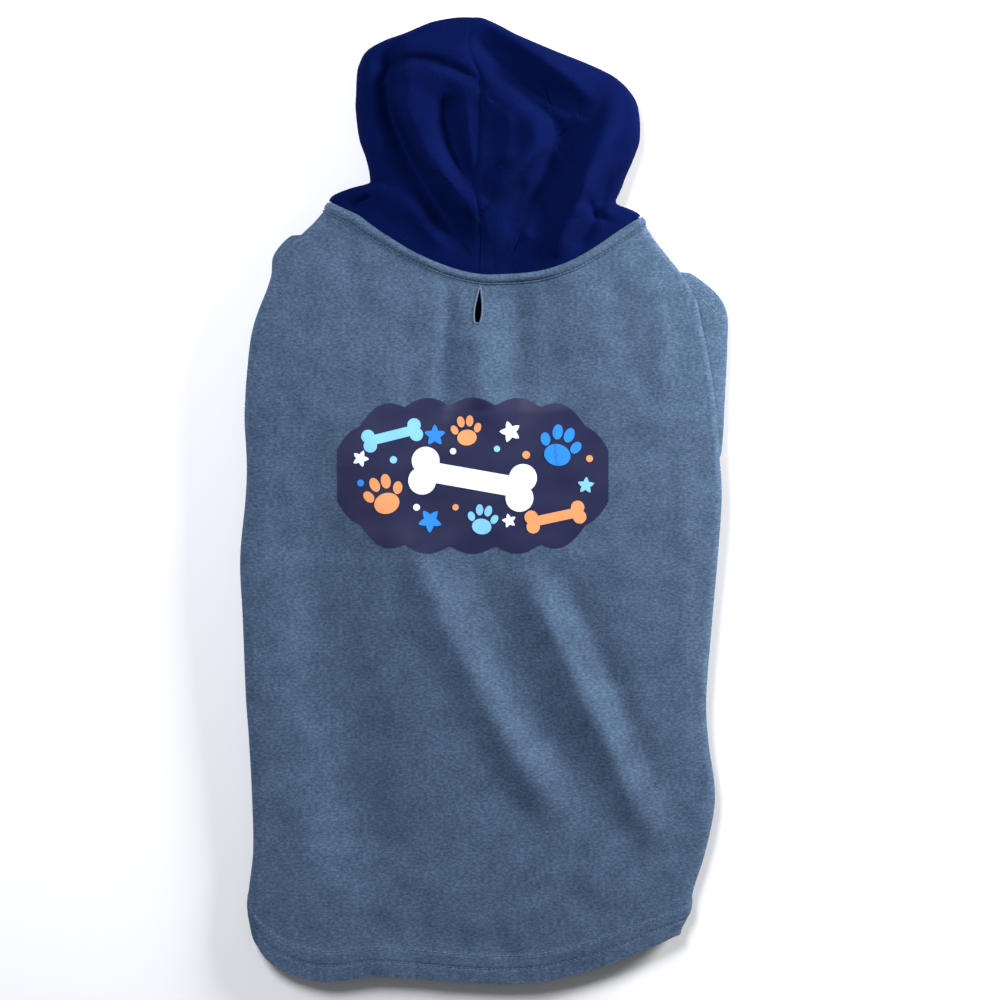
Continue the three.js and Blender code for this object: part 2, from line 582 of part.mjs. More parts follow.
// Middle of the hood's cloth: 1 is its outline both across and up, beyond 1 lies underneath
function hoodPoint(side, across, up) {
  const reach = hoodReach(across, up);
  const flat = HALF_HOOD - HOOD_EDGE_HEIGHT / 2 + quarterTurn(HOOD_EDGE_HEIGHT, FLEECE);
  const beyond = reach - 1;
  const edge = turnedEdge(beyond * (beyond < 0 ? flat : HALF_HOOD), HOOD_EDGE_HEIGHT, FLEECE);
  const scale = reach > 0 ? (1 - edge.inset / HALF_HOOD) / reach : 1;
  const plan = hoodPlan(side, across * scale, up * scale);
  const folds = foldHeight(HOOD_FOLDS, HOOD_WIDTH, HOOD_HEIGHT, HOOD_FOLD, plan.x, plan.y);
  const height = HOOD_EDGE_HEIGHT + (crownRise(plan.y) + folds) * dome(reach);
  const z = groundLift(plan.y) + FLEECE / 2 + edge.level * (height - FLEECE);
  return new THREE.Vector3(plan.x, plan.y, z);
}

// How strongly the lower rows of the hood follow the edge of the neck
function neckHold(up) {
  return 1 - ease(up, 0, NECK_HOLD);
}

// Rows of one half of the hood from its crown to the neck, each from the middle seam outwards
function hoodRows(side) {
  const sign = side === "left" ? -1 : 1;
  const start = 1 - quarterTurn(HOOD_EDGE_HEIGHT, FLEECE) / HALF_HOOD;
  const ends = sideTravels(HOOD_EDGE_HEIGHT, HOOD_WRAP).map((travel) => start + travel / HALF_HOOD);
  const spread = (count) => {
    const inner = Array.from({ length: count + 1 }, (_, step) => (start * step) / count);
    return [...inner, ...ends];
  };
  const neck = halfAcross(side, 0).map((across) => {
    const gap = SEAM_GAP * mix(0.5, CORNER_GAP, ease(across, CORNER_START, 1));
    return bodyPoint(sign * (across || 1e-6), 0, -gap);
  });
  const rows = spread(HOOD_ROWS).map((up) => spread(HALF_COLUMNS).map((across, column) => {
    const shift = neck[column].clone().sub(hoodPoint(side, across, 0));
    const place = hoodPoint(side, across, up).addScaledVector(shift, neckHold(up));
    if (column === 0) place.x += sign * SEAM_GAP;
    return place;
  }));
  return rows.reverse();
}

function hoodHalf(side) {
  const rows = hoodRows(side);
  const neighbour = hoodRows(side === "left" ? "right" : "left").map((row) => row[1]);
  if (side === "right") return clothWall(rows, () => FLEECE, { before: neighbour });
  return clothWall(rows.map((row) => row.reverse()), () => FLEECE, { after: neighbour });
}

// Sleeves

// Place on a curve through four guides
function curveAt(a, b, c, d, t) {
  return a * (1 - t) ** 3 + 3 * b * t * (1 - t) ** 2 + 3 * c * t * t * (1 - t) + d * t ** 3;
}

// Middle of a sleeve's cloth: around in radians, turn 0 to 1 round the side, then reach 0 to 1 to its end
function sleevePoint(side, around, turn, reach) {
  const sign = side === "left" ? -1 : 1;
  const hole = ARMHOLES[side];
  const along = 0.5 - 0.5 * Math.sign(Math.cos(around)) * Math.abs(Math.cos(around)) ** CAP_ROUNDNESS;
  const wall = Math.sign(Math.sin(around)) * Math.abs(Math.sin(around)) ** WALL_ROUNDNESS;
  const margin = EDGE_HEIGHT / 2 / BACK_LENGTH;
  const y = -BACK_LENGTH * mix(hole.from + margin, hole.to - margin, along);
  const pivot = bodyHalf(side, y) - EDGE_HEIGHT / 2;
  const radius = (EDGE_HEIGHT - FLEECE) / 2;
  const seam = THREE.MathUtils.degToRad(SEAM_ANGLE);
  const outerX = radius * Math.cos(seam);
  const backEnd = LIFT + EDGE_HEIGHT / 2 + (radius - FLEECE / 2) * Math.sin(seam);
  const outerZ = backEnd - SEAM_GAP - SLEEVE_CLOTH / 2;
  const bulge = EDGE_HEIGHT / 2 + SLEEVE_BULGE * read(SLEEVE_CAPS, "along", side, along);
  const guide = (bulge - SLEEVE_CLOTH / 2 - outerX / 8) / 0.75;
  const low = SLEEVE_CLOTH / 2;
  const high = SLEEVE_HEIGHT - SLEEVE_CLOTH / 2;
  const innerZ = LIFT + FLEECE / 2;
  const outer = {
    x: curveAt(outerX, guide, guide, 0, turn),
    z: curveAt(outerZ, outerZ, low, low, turn),
  };
  const inner = {
    x: curveAt(MOUTH_INSET, MOUTH_BEND, MOUTH_BEND, 0, turn),
    z: curveAt(innerZ, innerZ, high, high, turn),
  };
  const endMiddle = -BACK_LENGTH * mix(hole.from, hole.to, 0.5) - SLEEVE_DROP;
  const endY = endMiddle + SLEEVE_END * (0.5 - along);
  const inward = SLEEVE_LENGTH * reach + (pivot - bodyHalf(side, endMiddle)) * reach;
  return new THREE.Vector3(
    sign * (pivot - inward + mix(outer.x + inner.x, 2 * outer.x, wall) / 2),
    mix(y, endY, reach),
    mix(outer.z + inner.z, 2 * outer.z, wall) / 2,
  );
}

function sleeve(side) {
  const grid = [];
  const ring = (turn, reach) => {
    const row = [];
    for (let step = 0; step < SLEEVE_AROUND; step += 1) {
      row.push(sleevePoint(side, (2 * Math.PI * step) / SLEEVE_AROUND, turn, reach));
    }
    return side === "left" ? row : row.reverse();
  };
  for (let step = 0; step <= SLEEVE_TURNS; step += 1) grid.push(ring(step / SLEEVE_TURNS, 0));
  for (let step = 1; step <= SLEEVE_RINGS; step += 1) grid.push(ring(1, step / SLEEVE_RINGS));
  return clothWall(grid, () => SLEEVE_CLOTH, { closed: true });
}

// Edge of the print, as a share of half its height
function printEdge(across) {
  const body = (1 - PRINT_END_FALL * Math.abs(across) ** PRINT_CORNER) * PRINT_BODY;
  return body + (1 - PRINT_BODY) * Math.abs(Math.cos((Math.PI / 2) * PRINT_SCALLOPS * across));
}

function backPrint() {
  const upper = [];
  const lower = [];
  for (let column = 0; column <= PRINT_COLUMNS; column += 1) {
    const across = -1 + (2 * column) / PRINT_COLUMNS;
    const x = PRINT_SHIFT + (PRINT_WIDTH / 2) * across;
    const rise = (PRINT_HEIGHT / 2) * printEdge(across);
    upper.push(new THREE.Vector2(x, -PRINT_FROM_NECK + rise));
    lower.push(new THREE.Vector2(x, -PRINT_FROM_NECK - rise));
  }
  return layerOnBack(PRINT_INK, [...lower, ...upper.reverse()]);
}

// Assembly

const hoodie = new THREE.Group();
hoodie.name = "dog_hoodie";

function add(name, geometry, color, roughness) {
  const material = new THREE.MeshStandardMaterial({ color, roughness, metalness: 0 });
  material.name = name;
  geometry.computeVertexNormals();
  const mesh = new THREE.Mesh(geometry, material);
  mesh.name = name;
  hoodie.add(mesh);
}

const HEATHER = 0x55677f;
const NAVY = 0x0e1f58;
const LILAC = 0xb9c0d4;
const INK = 0x161a4e;

add("back_panel", backPanel(), HEATHER, 0.95);
add("belly_panel", bellyPanel(), HEATHER, 0.95);
add("sleeve_left", sleeve("left"), HEATHER, 0.95);
add("sleeve_right", sleeve("right"), HEATHER, 0.95);
add("hood_left", hoodHalf("left"), NAVY, 0.9);
add("hood_right", hoodHalf("right"), NAVY, 0.9);
add("neck_band", neckBand(), HEATHER, 0.95);
add("leash_slot_binding", leashSlotBinding(), LILAC, 0.85);
add("back_print", backPrint(), INK, 0.6);

// The origin goes under the middle of the whole garment, on the surface it lies on
const box = new THREE.Box3().setFromObject(hoodie);
const middle = box.getCenter(new THREE.Vector3());
for (const mesh of hoodie.children) mesh.position.set(-middle.x, -middle.y, -box.min.z);

export default hoodie;
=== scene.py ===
import math

import bpy
import numpy as np
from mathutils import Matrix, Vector


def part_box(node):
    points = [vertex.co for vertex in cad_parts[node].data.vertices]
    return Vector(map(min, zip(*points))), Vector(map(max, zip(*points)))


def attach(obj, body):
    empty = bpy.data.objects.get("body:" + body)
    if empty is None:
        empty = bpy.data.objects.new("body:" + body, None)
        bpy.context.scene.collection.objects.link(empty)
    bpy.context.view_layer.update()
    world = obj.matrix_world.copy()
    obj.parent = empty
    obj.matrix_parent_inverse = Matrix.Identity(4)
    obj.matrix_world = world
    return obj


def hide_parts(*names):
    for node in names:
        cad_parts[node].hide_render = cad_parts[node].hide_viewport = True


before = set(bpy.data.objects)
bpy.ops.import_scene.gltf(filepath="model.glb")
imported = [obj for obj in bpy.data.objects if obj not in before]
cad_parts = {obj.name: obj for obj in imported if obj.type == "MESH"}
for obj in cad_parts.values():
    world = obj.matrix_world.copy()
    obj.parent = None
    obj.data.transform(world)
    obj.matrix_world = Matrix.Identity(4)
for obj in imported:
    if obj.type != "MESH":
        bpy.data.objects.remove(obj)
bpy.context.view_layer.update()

# Sizes of the hoodie in millimetres, those of its solids
BACK_LENGTH = 585
BODY_WIDTH = 396
HOOD_HEIGHT = 216
HOOD_WIDTH = 236
NECK_RISE = 61
FLEECE = 2.4
SLEEVE_CLOTH = 2.2
HEM_EXTRA = 0.8
HEM_DEPTH = 24
SEAM_GAP = 0.3
EDGE_HEIGHT = 13
HOOD_EDGE_HEIGHT = 14
SIDE_WRAP = 46
HOOD_WRAP = 56
BODY_CROWN = 13
HOOD_CROWN = 22
SLEEVE_LENGTH = 118
SLEEVE_END = 84
SLEEVE_HEIGHT = 9.7
SLEEVE_BULGE = 23
SLEEVE_DROP = 34
SEAM_ANGLE = 25
NECK_BAND = 8
NECK_BAND_CLOTH = 0.9
SLOT_LENGTH = 27
SLOT_WIDTH = 5.2
SLOT_FROM_NECK = 13
SLOT_LEAN = 1.8
BINDING_WIDTH = 1.4
PRINT_WIDTH = 223
PRINT_HEIGHT = 128
PRINT_FROM_NECK = 165
PRINT_SHIFT = -6
PRINT_SCALLOPS = 6
INK = 0.25

HALF_BODY = BODY_WIDTH / 2
HALF_HOOD = HOOD_WIDTH / 2
LIFT = SLEEVE_HEIGHT + SEAM_GAP
HOOD_CORNER = 5
ARMHOLE_EASE = 0.03
ARMHOLE_ROUNDNESS = 0.75
WALL_ROUNDNESS = 0.5
DOME_CORNER = 3.4
HEM_LINES = (12.5, 23.5)
BAND_GROOVE = 6.8
INK_LIFT = 0.12
MM = 0.001

# Where the lift over the folded sleeves fades: up the hood, down the underside and down the upper cloth
LIFT_UP_HOOD = (0.17, 0.62)
LIFT_DOWN_BELLY = (0.47, 0.34)
LIFT_DOWN_BACK = (1, 0.15)

# Uneven height of the cloth: height, size of its lumps, seed
BODY_UNEVENNESS = [(0.7, 90, 4), (0.25, 34, 8)]
HOOD_UNEVENNESS = [(0.8, 60, 21), (0.3, 22, 5)]

# Groove along the hood's middle seam
HOOD_SEAM_DEPTH = 2.2
HOOD_SEAM_WIDTH = 2.6

# How finely the cloth is divided
BACK_COLUMNS = 84
BACK_ROWS = 185
HEM_ROWS = 32
HOOD_COLUMNS = 150
FLAT_SHARE = 0.76
TURN_SHARE = 0.92

# Half widths of the body, shares of half its width, down the back: down, left, right
BODY_OUTLINE = np.array([
    (-0.1, 0.63, 0.65), (-0.075, 0.692, 0.683), (-0.055, 0.753, 0.717), (-0.03, 0.817, 0.775),
    (-0.006, 0.854, 0.833), (0.034, 0.908, 0.904), (0.072, 0.948, 0.929), (0.111, 0.967, 0.954),
    (0.19, 0.983, 0.988), (0.268, 0.973, 1.004), (0.316, 0.979, 1.008), (0.401, 1.002, 0.992),
    (0.485, 0.992, 0.971), (0.598, 0.979, 0.946), (0.654, 0.967, 0.954), (0.739, 0.954, 0.983),
    (0.815, 0.95, 0.942), (0.869, 0.968, 0.892), (0.896, 0.971, 0.879), (0.924, 0.958, 0.838),
])

# Neck seam and hem across the back: across, climb of the neck seam, place of the hem down the back
NECK_AND_HEM = np.array([
    (-1.24, 0.98, 0.74), (-1.12, 0.99, 0.8), (-1.04, 1, 0.88), (-1, 1, 0.917), (-0.94, 0.96, 0.958),
    (-0.86, 0.9, 0.979), (-0.745, 0.81, 0.993), (-0.64, 0.69, 0.997), (-0.47, 0.49, 0.989),
    (-0.32, 0.297, 0.991), (-0.148, 0.108, 0.996), (0, 0.013, 0.999), (0.119, 0.013, 1),
    (0.285, 0.054, 0.997), (0.44, 0.169, 0.988), (0.613, 0.365, 0.974), (0.78, 0.568, 0.956),
    (0.95, 0.76, 0.934), (1, 0.79, 0.924), (1.04, 0.79, 0.885), (1.12, 0.78, 0.81), (1.24, 0.77, 0.74),
])

# Half widths of the hood and the place of its middle seam, shares of half its width: up, left, right, seam
HOOD_OUTLINE = np.array([
    (0.2, 1.02, 1.09, 0.01), (0.24, 1.025, 1.03, -0.01), (0.275, 1.02, 0.955, -0.025),
    (0.32, 0.95, 0.98, -0.04), (0.345, 0.79, 1, -0.04), (0.37, 0.769, 1.014, -0.035),
    (0.45, 0.797, 1.077, -0.02), (0.527, 0.846, 1.123, -0.01), (0.645, 0.874, 1.112, 0.012),
    (0.702, 0.871, 1.063, 0.01), (0.761, 0.867, 0.951, 0), (0.805, 0.855, 0.79, -0.04),
    (0.863, 0.797, 0.524, -0.08), (0.903, 0.671, 0.35, -0.08), (0.927, 0.545, 0.25, -0.07),
    (0.954, 0.434, 0.16, -0.06), (0.976, 0.33, 0.08, -0.055), (1, 0.1, -0.01, -0.05),
])

# Height of the crown, a share of its highest: down the back and up the hood
BODY_CROWN_ROWS = np.array([(0, 0.9), (0.14, 1), (0.32, 0.9), (0.55, 0.75), (0.85, 0.6), (1, 0.2)])
HOOD_CROWN_ROWS = np.array([(0, 0.53), (0.2, 0.65), (0.5, 0.95), (0.75, 1), (1, 0.6)])

# Folds of the hood, each through three places: x and y from the middle of the neck seam, height,
# and how wide it is to the left and to the right of the way from the first place to the last
HOOD_FOLDS = [
    (-72, 193, -75, 145, -60, 108, -20, 7, 11),
    (-66, 116, -50, 82, -17, 32, -14, 8, 11),
    (-92, 178, -90, 129, -80, 67, 6, 9, 9),
    (-68, 184, -40, 187, -6, 175, 5, 12, 12),
    (-74, 172, -42, 178, -1, 158, -7, 4, 6),
    (-72, 164, -40, 169, 1, 148, 7, 5, 17),
    (-69, 158, -62, 124, -40, 92, 7, 18, 6),
    (-41, 96, -21, 72, -3, 46, 7, 14, 6),
    (-26, 150, -25, 118, -8, 72, -9, 9, 9),
    (-10, 140, -9, 110, -4, 78, 3, 5, 5),
    (-4, 200, 26, 171, 74, 136, -13, 12, 7),
    (2, 214, 40, 187, 92, 146, 9, 7, 7),
    (24, 205, 58, 188, 100, 156, 3, 5, 9),
    (8, 172, 32, 152, 66, 124, -8, 6, 9),
    (60, 128, 58, 90, 34, 36, -13, 24, 9),
    (2, 160, 33, 143, 59, 112, 8, 5, 20),
    (59, 112, 36, 92, 8, 60, 8, 6, 17),
    (20, 135, 24, 112, 18, 88, 3, 6, 7),
    (2, 76, 12, 84, 22, 92, -3, 4, 4),
    (112, 154, 102, 112, 78, 58, 8, 9, 9),
    (90, 86, 76, 50, 58, 14, 7, 7, 8),
    (106, 84, 94, 50, 78, 20, -5, 5, 6),
    (122, 150, 126, 128, 118, 100, 4, 8, 8),
    (36, 78, 30, 58, 22, 34, -3, 6, 6),
    (48, 62, 42, 44, 34, 26, 3, 7, 7),
    (-62, 62, -44, 42, -28, 22, 3, 8, 8),
    (-88, 66, -94, 60, -104, 58, -6, 4, 4),
    (88, 64, 92, 50, 106, 44, -5, 4, 4),
]

# How much deeper the hood's folds are than their table says
HOOD_FOLD_DEPTH = 1.25

# Folds of the back, in the same way
BODY_FOLDS = [
    (-27, -8, -27, -60, -29, -112, -3, 7, 7),
    (-2, -45, -1, -78, 2, -112, 3.5, 12, 12),
    (30, -10, 30, -60, 32, -112, -3.5, 12, 16),
    (-62, -30, -58, -70, -58, -112, -1.5, 10, 10),
    (50, 0, 55, -50, 60, -112, -4, 25, 45),
    (-55, -225, -5, -336, 59, -440, 6.5, 15, 15),
    (-5, -240, 45, -346, 103, -440, -4.5, 22, 18),
    (42, -255, 91, -362, 144, -468, 7, 13, 12),
    (71, -250, 112, -343, 146, -420, -4, 14, 10),
    (168, -150, 170, -300, 172, -430, 3.5, 10, 9),
    (-140, -160, -122, -340, -88, -505, -11, 36, 36),
    (-120, 20, -105, -10, -96, -60, -2, 12, 12),
    (110, 10, 118, -30, 118, -80, -2, 12, 12),
    (140, 0, 150, -50, 148, -110, 3, 9, 9),
]

# Armholes down the back, and how far the sleeves' caps stand out along them: along, left, right
ARMHOLES = {"left": (-0.068, 0.178), "right": (-0.015, 0.265)}
SLEEVE_CAPS = np.array([
    (0, 0.6, 0.6), (0.12, 0.45, 0.95), (0.25, 0.12, 1), (0.4, 0, 0.75), (0.7, 0, 0.35), (1, 0, 0.1),
])
# How far the outer part of each cap sinks, a share of its height
CAP_SAG = {"left": 0.85, "right": 0.35}
# Where the seam across the right cap meets its outermost cloth, a share of the armhole
CAP_SEAM_END = 0.283
# Each side's sign and its column in the tables
SIDES = {"left": (-1, 1), "right": (1, 2)}


def mix(start, end, share):
    return start + (end - start) * share


def ease(value, start, end):
    share = np.clip((value - start) / (end - start), 0, 1)
    return share * share * (3 - 2 * share)


def read(rows, place, column=1):
    """A table's column at a place, smooth through its rows"""
    keys, values = rows[:, 0], rows[:, column]
    last = len(keys) - 1
    at = np.clip(place, keys[0], keys[last])
    row = np.clip(np.searchsorted(keys, at, side="right") - 1, 0, last - 1)
    before, after = np.maximum(np.arange(last + 1) - 1, 0), np.minimum(np.arange(last + 1) + 1, last)
    slope = (values[after] - values[before]) / (keys[after] - keys[before])
    run = keys[row + 1] - keys[row]
    t = (at - keys[row]) / run
    start = (1 + 2 * t) * (1 - t) ** 2 * values[row] + t * (1 - t) ** 2 * run * slope[row]
    return start + t * t * (3 - 2 * t) * values[row + 1] + t * t * (t - 1) * run * slope[row + 1]


def fold_heights(folds, x, y):
    """Height of all the folds of a table at each place"""
    height = np.zeros(np.shape(x))
    t = np.linspace(0, 1, 15)
    for x1, y1, x2, y2, x3, y3, tall, left, right in folds:
        bend_x, bend_y = 2 * x2 - (x1 + x3) / 2, 2 * y2 - (y1 + y3) / 2
        path_x = (1 - t) ** 2 * x1 + 2 * t * (1 - t) * bend_x + t * t * x3
        path_y = (1 - t) ** 2 * y1 + 2 * t * (1 - t) * bend_y + t * t * y3
        nearest = np.full(np.shape(x), 1e9)
        signed = np.zeros(np.shape(x))
        along = np.zeros(np.shape(x))
        for step in range(len(t) - 1):
            run_x, run_y = path_x[step + 1] - path_x[step], path_y[step + 1] - path_y[step]
            away_x, away_y = x - path_x[step], y - path_y[step]
            share = np.clip((away_x * run_x + away_y * run_y) / (run_x**2 + run_y**2), 0, 1)
            distance = np.hypot(away_x - share * run_x, away_y - share * run_y)
            closer = distance < nearest
            nearest = np.where(closer, distance, nearest)
            signed = np.where(closer, run_x * away_y - run_y * away_x, signed)
            along = np.where(closer, (step + share) / (len(t) - 1), along)
        width = np.where(signed > 0, left, right)
        fade = ease(along, -0.12, 0.22) * (1 - ease(along, 0.78, 1.12))
        height += tall * fade * np.exp(-((nearest / width) ** 2))
    return height


def unevenness(x, y, size, seed):
    """Smooth uneven height between about -1 and 1, with lumps about as large as size"""
    chance = np.random.default_rng(seed)
    total = np.zeros(np.shape(x))
    for _ in range(9):
        turn = chance.uniform(0, math.pi)
        phase = chance.uniform(0, 2 * math.pi)
        pitch = chance.uniform(0.7, 1.5)
        total += np.sin(2 * math.pi * pitch / size * (x * math.cos(turn) + y * math.sin(turn)) + phase)
    return total / 4


def turned_edge(travel, height, cloth):
    """Cloth that turns round a side: its distance inside the outline, and its level, 1 on top and 0 below"""
    radius = (height - cloth) / 2
    angle = np.clip(travel / radius, -math.pi / 2, math.pi / 2)
    beyond = np.maximum(np.abs(travel) - math.pi / 2 * radius, 0)
    return height / 2 - radius * np.cos(angle) + beyond, (1 - np.sin(angle)) / 2


def quarter_turn(height):
    return math.pi / 4 * (height - FLEECE)


def lift_over_sleeves(y, down_from, down_to):
    """The neck and the chest lie on the folded sleeves; the lift fades up the hood and down the body"""
    fading, gone = LIFT_UP_HOOD
    up_hood = 1 - ease(y, fading * HOOD_HEIGHT, gone * HOOD_HEIGHT)
    return LIFT * up_hood * ease(y, -down_from * BACK_LENGTH, -down_to * BACK_LENGTH)


def ground_lift(y):
    """Height of the lowest cloth"""
    return lift_over_sleeves(y, *LIFT_DOWN_BELLY)


def top_lift(y):
    """The same under the upper cloth, which spans the step behind the sleeves"""
    return lift_over_sleeves(y, *LIFT_DOWN_BACK)


def dome(share):
    return 1 - np.minimum(share, 1) ** DOME_CORNER


def body_half(side, y):
    return HALF_BODY * read(BODY_OUTLINE, -y / BACK_LENGTH, SIDES[side][1])


def neck_y(across):
    return NECK_RISE * read(NECK_AND_HEM, across, 1)


def hem_y(across):
    return -BACK_LENGTH * read(NECK_AND_HEM, across, 2)


def body_y(across, along, gap=SEAM_GAP / 2):
    side = np.clip(across, -1, 1)
    return mix(neck_y(across) - gap, hem_y(side), along) + (hem_y(across) - hem_y(side)) * along**4


def body_height(x, y):
    """Top of the back above its underside"""
    half = np.where(x < 0, body_half("left", y), body_half("right", y))
    folds = fold_heights(BODY_FOLDS, x, y)
    for tall, size, seed in BODY_UNEVENNESS:
        folds += tall * unevenness(x, y, size, seed)
    crown = (BODY_CROWN * read(BODY_CROWN_ROWS, -y / BACK_LENGTH) + folds) * dome(np.abs(x) / half)
    return EDGE_HEIGHT + crown + top_lift(y) - ground_lift(y)


def back_top(x, y):
    """Height of the back's upper face where it lies flat"""
    return ground_lift(y) + body_height(x, y)


def body_point(across, along, gap=SEAM_GAP / 2):
    """Middle of the back's cloth: across is 1 at the side of the body, along runs from neck to hem"""
    across, along = np.broadcast_arrays(np.asarray(across, float), np.asarray(along, float))
    sign = np.where(across < 0, -1, 1)
    y = body_y(across, along, gap)
    half = np.where(across < 0, body_half("left", y), body_half("right", y))
    flat = half - EDGE_HEIGHT / 2 + quarter_turn(EDGE_HEIGHT)
    beyond = np.abs(across) - 1
    inset, level = turned_edge(beyond * np.where(beyond < 0, flat, HALF_BODY), EDGE_HEIGHT, FLEECE)
    x = sign * (half - inset)
    z = ground_lift(y) + FLEECE / 2 + level * (body_height(x, y) - FLEECE)
    return np.stack([x, y, z], axis=-1)


def wrap_length(side, along):
    """How far the back's cloth runs beyond the outermost place of its side: hardly at all at an armhole"""
    end = SIDES[side][0]
    down = -mix(neck_y(end), hem_y(end), along) / BACK_LENGTH
    start, stop = ARMHOLES[side]
    hole = ease(down, start - ARMHOLE_EASE, start) * (1 - ease(down, stop, stop + ARMHOLE_EASE))
    return mix(SIDE_WRAP, -math.radians(SEAM_ANGLE) * (EDGE_HEIGHT - FLEECE) / 2, hole)


def travel_at(place, height, wrap):
    """Cloth beyond the upper start of a side's turn, for a share of the way from the middle to the edge"""
    quarter = quarter_turn(height)
    turning = np.clip((place - FLAT_SHARE) / (TURN_SHARE - FLAT_SHARE), 0, 1)
    under = np.clip((place - TURN_SHARE) / (1 - TURN_SHARE), 0, 1)
    return 2 * quarter * turning + (wrap - quarter) * under


def half_across(side, along, place):
    """Places across one half of the back, for shares from its middle to its edge underneath"""
    quarter = quarter_turn(EDGE_HEIGHT)
    start = 1 - quarter / HALF_BODY
    reach = (wrap_length(side, along) + quarter) / (SIDE_WRAP + quarter)
    travel = travel_at(place, EDGE_HEIGHT, SIDE_WRAP) * reach
    return start * np.minimum(place / FLAT_SHARE, 1) + travel / HALF_BODY


def hood_seam(share):
    """Place of the hood's middle seam across, at a share of the hood's height"""
    return HALF_HOOD * read(HOOD_OUTLINE, share, 3) * ease(share, 0, 0.2)


def hood_plan(side, across, up):
    """Place in the plane for shares across and up inside the hood's outline"""
    sign, column = SIDES[side]
    y = mix(neck_y(sign * across) + SEAM_GAP / 2, HOOD_HEIGHT, up)
    share = y / HOOD_HEIGHT
    seam = hood_seam(share)
    edge = HALF_HOOD * read(HOOD_OUTLINE, share, column)
    half = mix(body_half(side, y), edge, ease(up, 0, 0.06)) - sign * seam
    widest = np.maximum(1 - up**HOOD_CORNER, 1e-4) ** (1 / HOOD_CORNER)
    return seam + sign * across * half / widest, y


def hood_point(side, across, up):
    """Middle of the hood's cloth: 1 is its outline across and up, beyond 1 lies underneath"""
    reach = (across**HOOD_CORNER + up**HOOD_CORNER) ** (1 / HOOD_CORNER)
    flat = HALF_HOOD - HOOD_EDGE_HEIGHT / 2 + quarter_turn(HOOD_EDGE_HEIGHT)
    beyond = reach - 1
    inset, level = turned_edge(beyond * np.where(beyond < 0, flat, HALF_HOOD), HOOD_EDGE_HEIGHT, FLEECE)
    scale = np.where(reach > 1e-9, (1 - inset / HALF_HOOD) / np.maximum(reach, 1e-9), 1)
    x, y = hood_plan(side, across * scale, up * scale)
    folds = HOOD_FOLD_DEPTH * fold_heights(HOOD_FOLDS, x, y)
    for tall, size, seed in HOOD_UNEVENNESS:
        folds += tall * unevenness(x, y, size, seed)
    folds -= HOOD_SEAM_DEPTH * np.exp(-((np.abs(x - hood_seam(y / HOOD_HEIGHT)) / HOOD_SEAM_WIDTH) ** 2))
    crown = HOOD_CROWN * read(HOOD_CROWN_ROWS, y / HOOD_HEIGHT)
    height = HOOD_EDGE_HEIGHT + (crown + folds) * dome(reach)
    z = ground_lift(y) + FLEECE / 2 + level * (height - FLEECE)
    return np.stack([x, y, z], axis=-1)


def hood_rows(side):
    """One half of the hood from its neck to its crown, each row from the middle seam outwards"""
    sign = SIDES[side][0]
    place = np.linspace(0, 1, HOOD_COLUMNS + 1)
    start = 1 - quarter_turn(HOOD_EDGE_HEIGHT) / HALF_HOOD
    travel = travel_at(place, HOOD_EDGE_HEIGHT, HOOD_WRAP)
    shares = start * np.minimum(place / FLAT_SHARE, 1) + travel / HALF_HOOD
    neck_places = half_across(side, 0, place)
    gap = SEAM_GAP * (0.5 + 2 * ease(neck_places, 0.9, 1))
    neck = body_point(sign * np.maximum(neck_places, 1e-6), 0, -gap)
    shift = neck - hood_point(side, shares, np.zeros(len(shares)))
    up, across = np.meshgrid(shares, shares, indexing="ij")
    hold = 1 - ease(up, 0, 0.3)
    rows = hood_point(side, across, up) + shift[None] * hold[..., None]
    rows[:, 0, 0] += sign * SEAM_GAP / 2
    return rows


def sleeve_point(side, around, turn, reach):
    """Middle of a sleeve's cloth: around in radians, turn 0 to 1 round the side, reach 0 to 1 to its end"""
    sign, column = SIDES[side]
    start, stop = ARMHOLES[side]
    along = 0.5 - 0.5 * np.sign(np.cos(around)) * np.abs(np.cos(around)) ** ARMHOLE_ROUNDNESS
    wall = np.sign(np.sin(around)) * np.abs(np.sin(around)) ** WALL_ROUNDNESS
    margin = EDGE_HEIGHT / 2 / BACK_LENGTH
    y = -BACK_LENGTH * mix(start + margin, stop - margin, along)
    pivot = body_half(side, y) - EDGE_HEIGHT / 2
    radius = (EDGE_HEIGHT - FLEECE) / 2
    seam = math.radians(SEAM_ANGLE)
    outer_x = radius * math.cos(seam)
    back_end = LIFT + EDGE_HEIGHT / 2 + (radius - FLEECE / 2) * math.sin(seam)
    outer_z = back_end - SEAM_GAP - SLEEVE_CLOTH / 2
    bulge = EDGE_HEIGHT / 2 + SLEEVE_BULGE * read(SLEEVE_CAPS, along, column)
    guide = (bulge - SLEEVE_CLOTH / 2 - outer_x / 8) / 0.75
    low, high = SLEEVE_CLOTH / 2, SLEEVE_HEIGHT - SLEEVE_CLOTH / 2
    inner_z = LIFT + FLEECE / 2

    def curve(a, b, c, d):
        rest = 1 - turn
        return a * rest**3 + 3 * b * turn * rest**2 + 3 * c * turn**2 * rest + d * turn**3

    shoulder = mix(outer_z, low, CAP_SAG[side])
    out_x, out_z = curve(outer_x, guide, guide, 0), curve(outer_z, shoulder, low, low)
    in_x, in_z = curve(2, 3.5, 3.5, 0), curve(inner_z, inner_z, high, high)
    end_middle = -BACK_LENGTH * mix(start, stop, 0.5) - SLEEVE_DROP
    inward = (SLEEVE_LENGTH + pivot - body_half(side, end_middle)) * reach
    x = sign * (pivot - inward + mix(out_x + in_x, 2 * out_x, wall) / 2)
    z = mix(out_z + in_z, 2 * out_z, wall) / 2
    return np.stack([x, mix(y, end_middle + SLEEVE_END * (0.5 - along), reach), z], axis=-1)


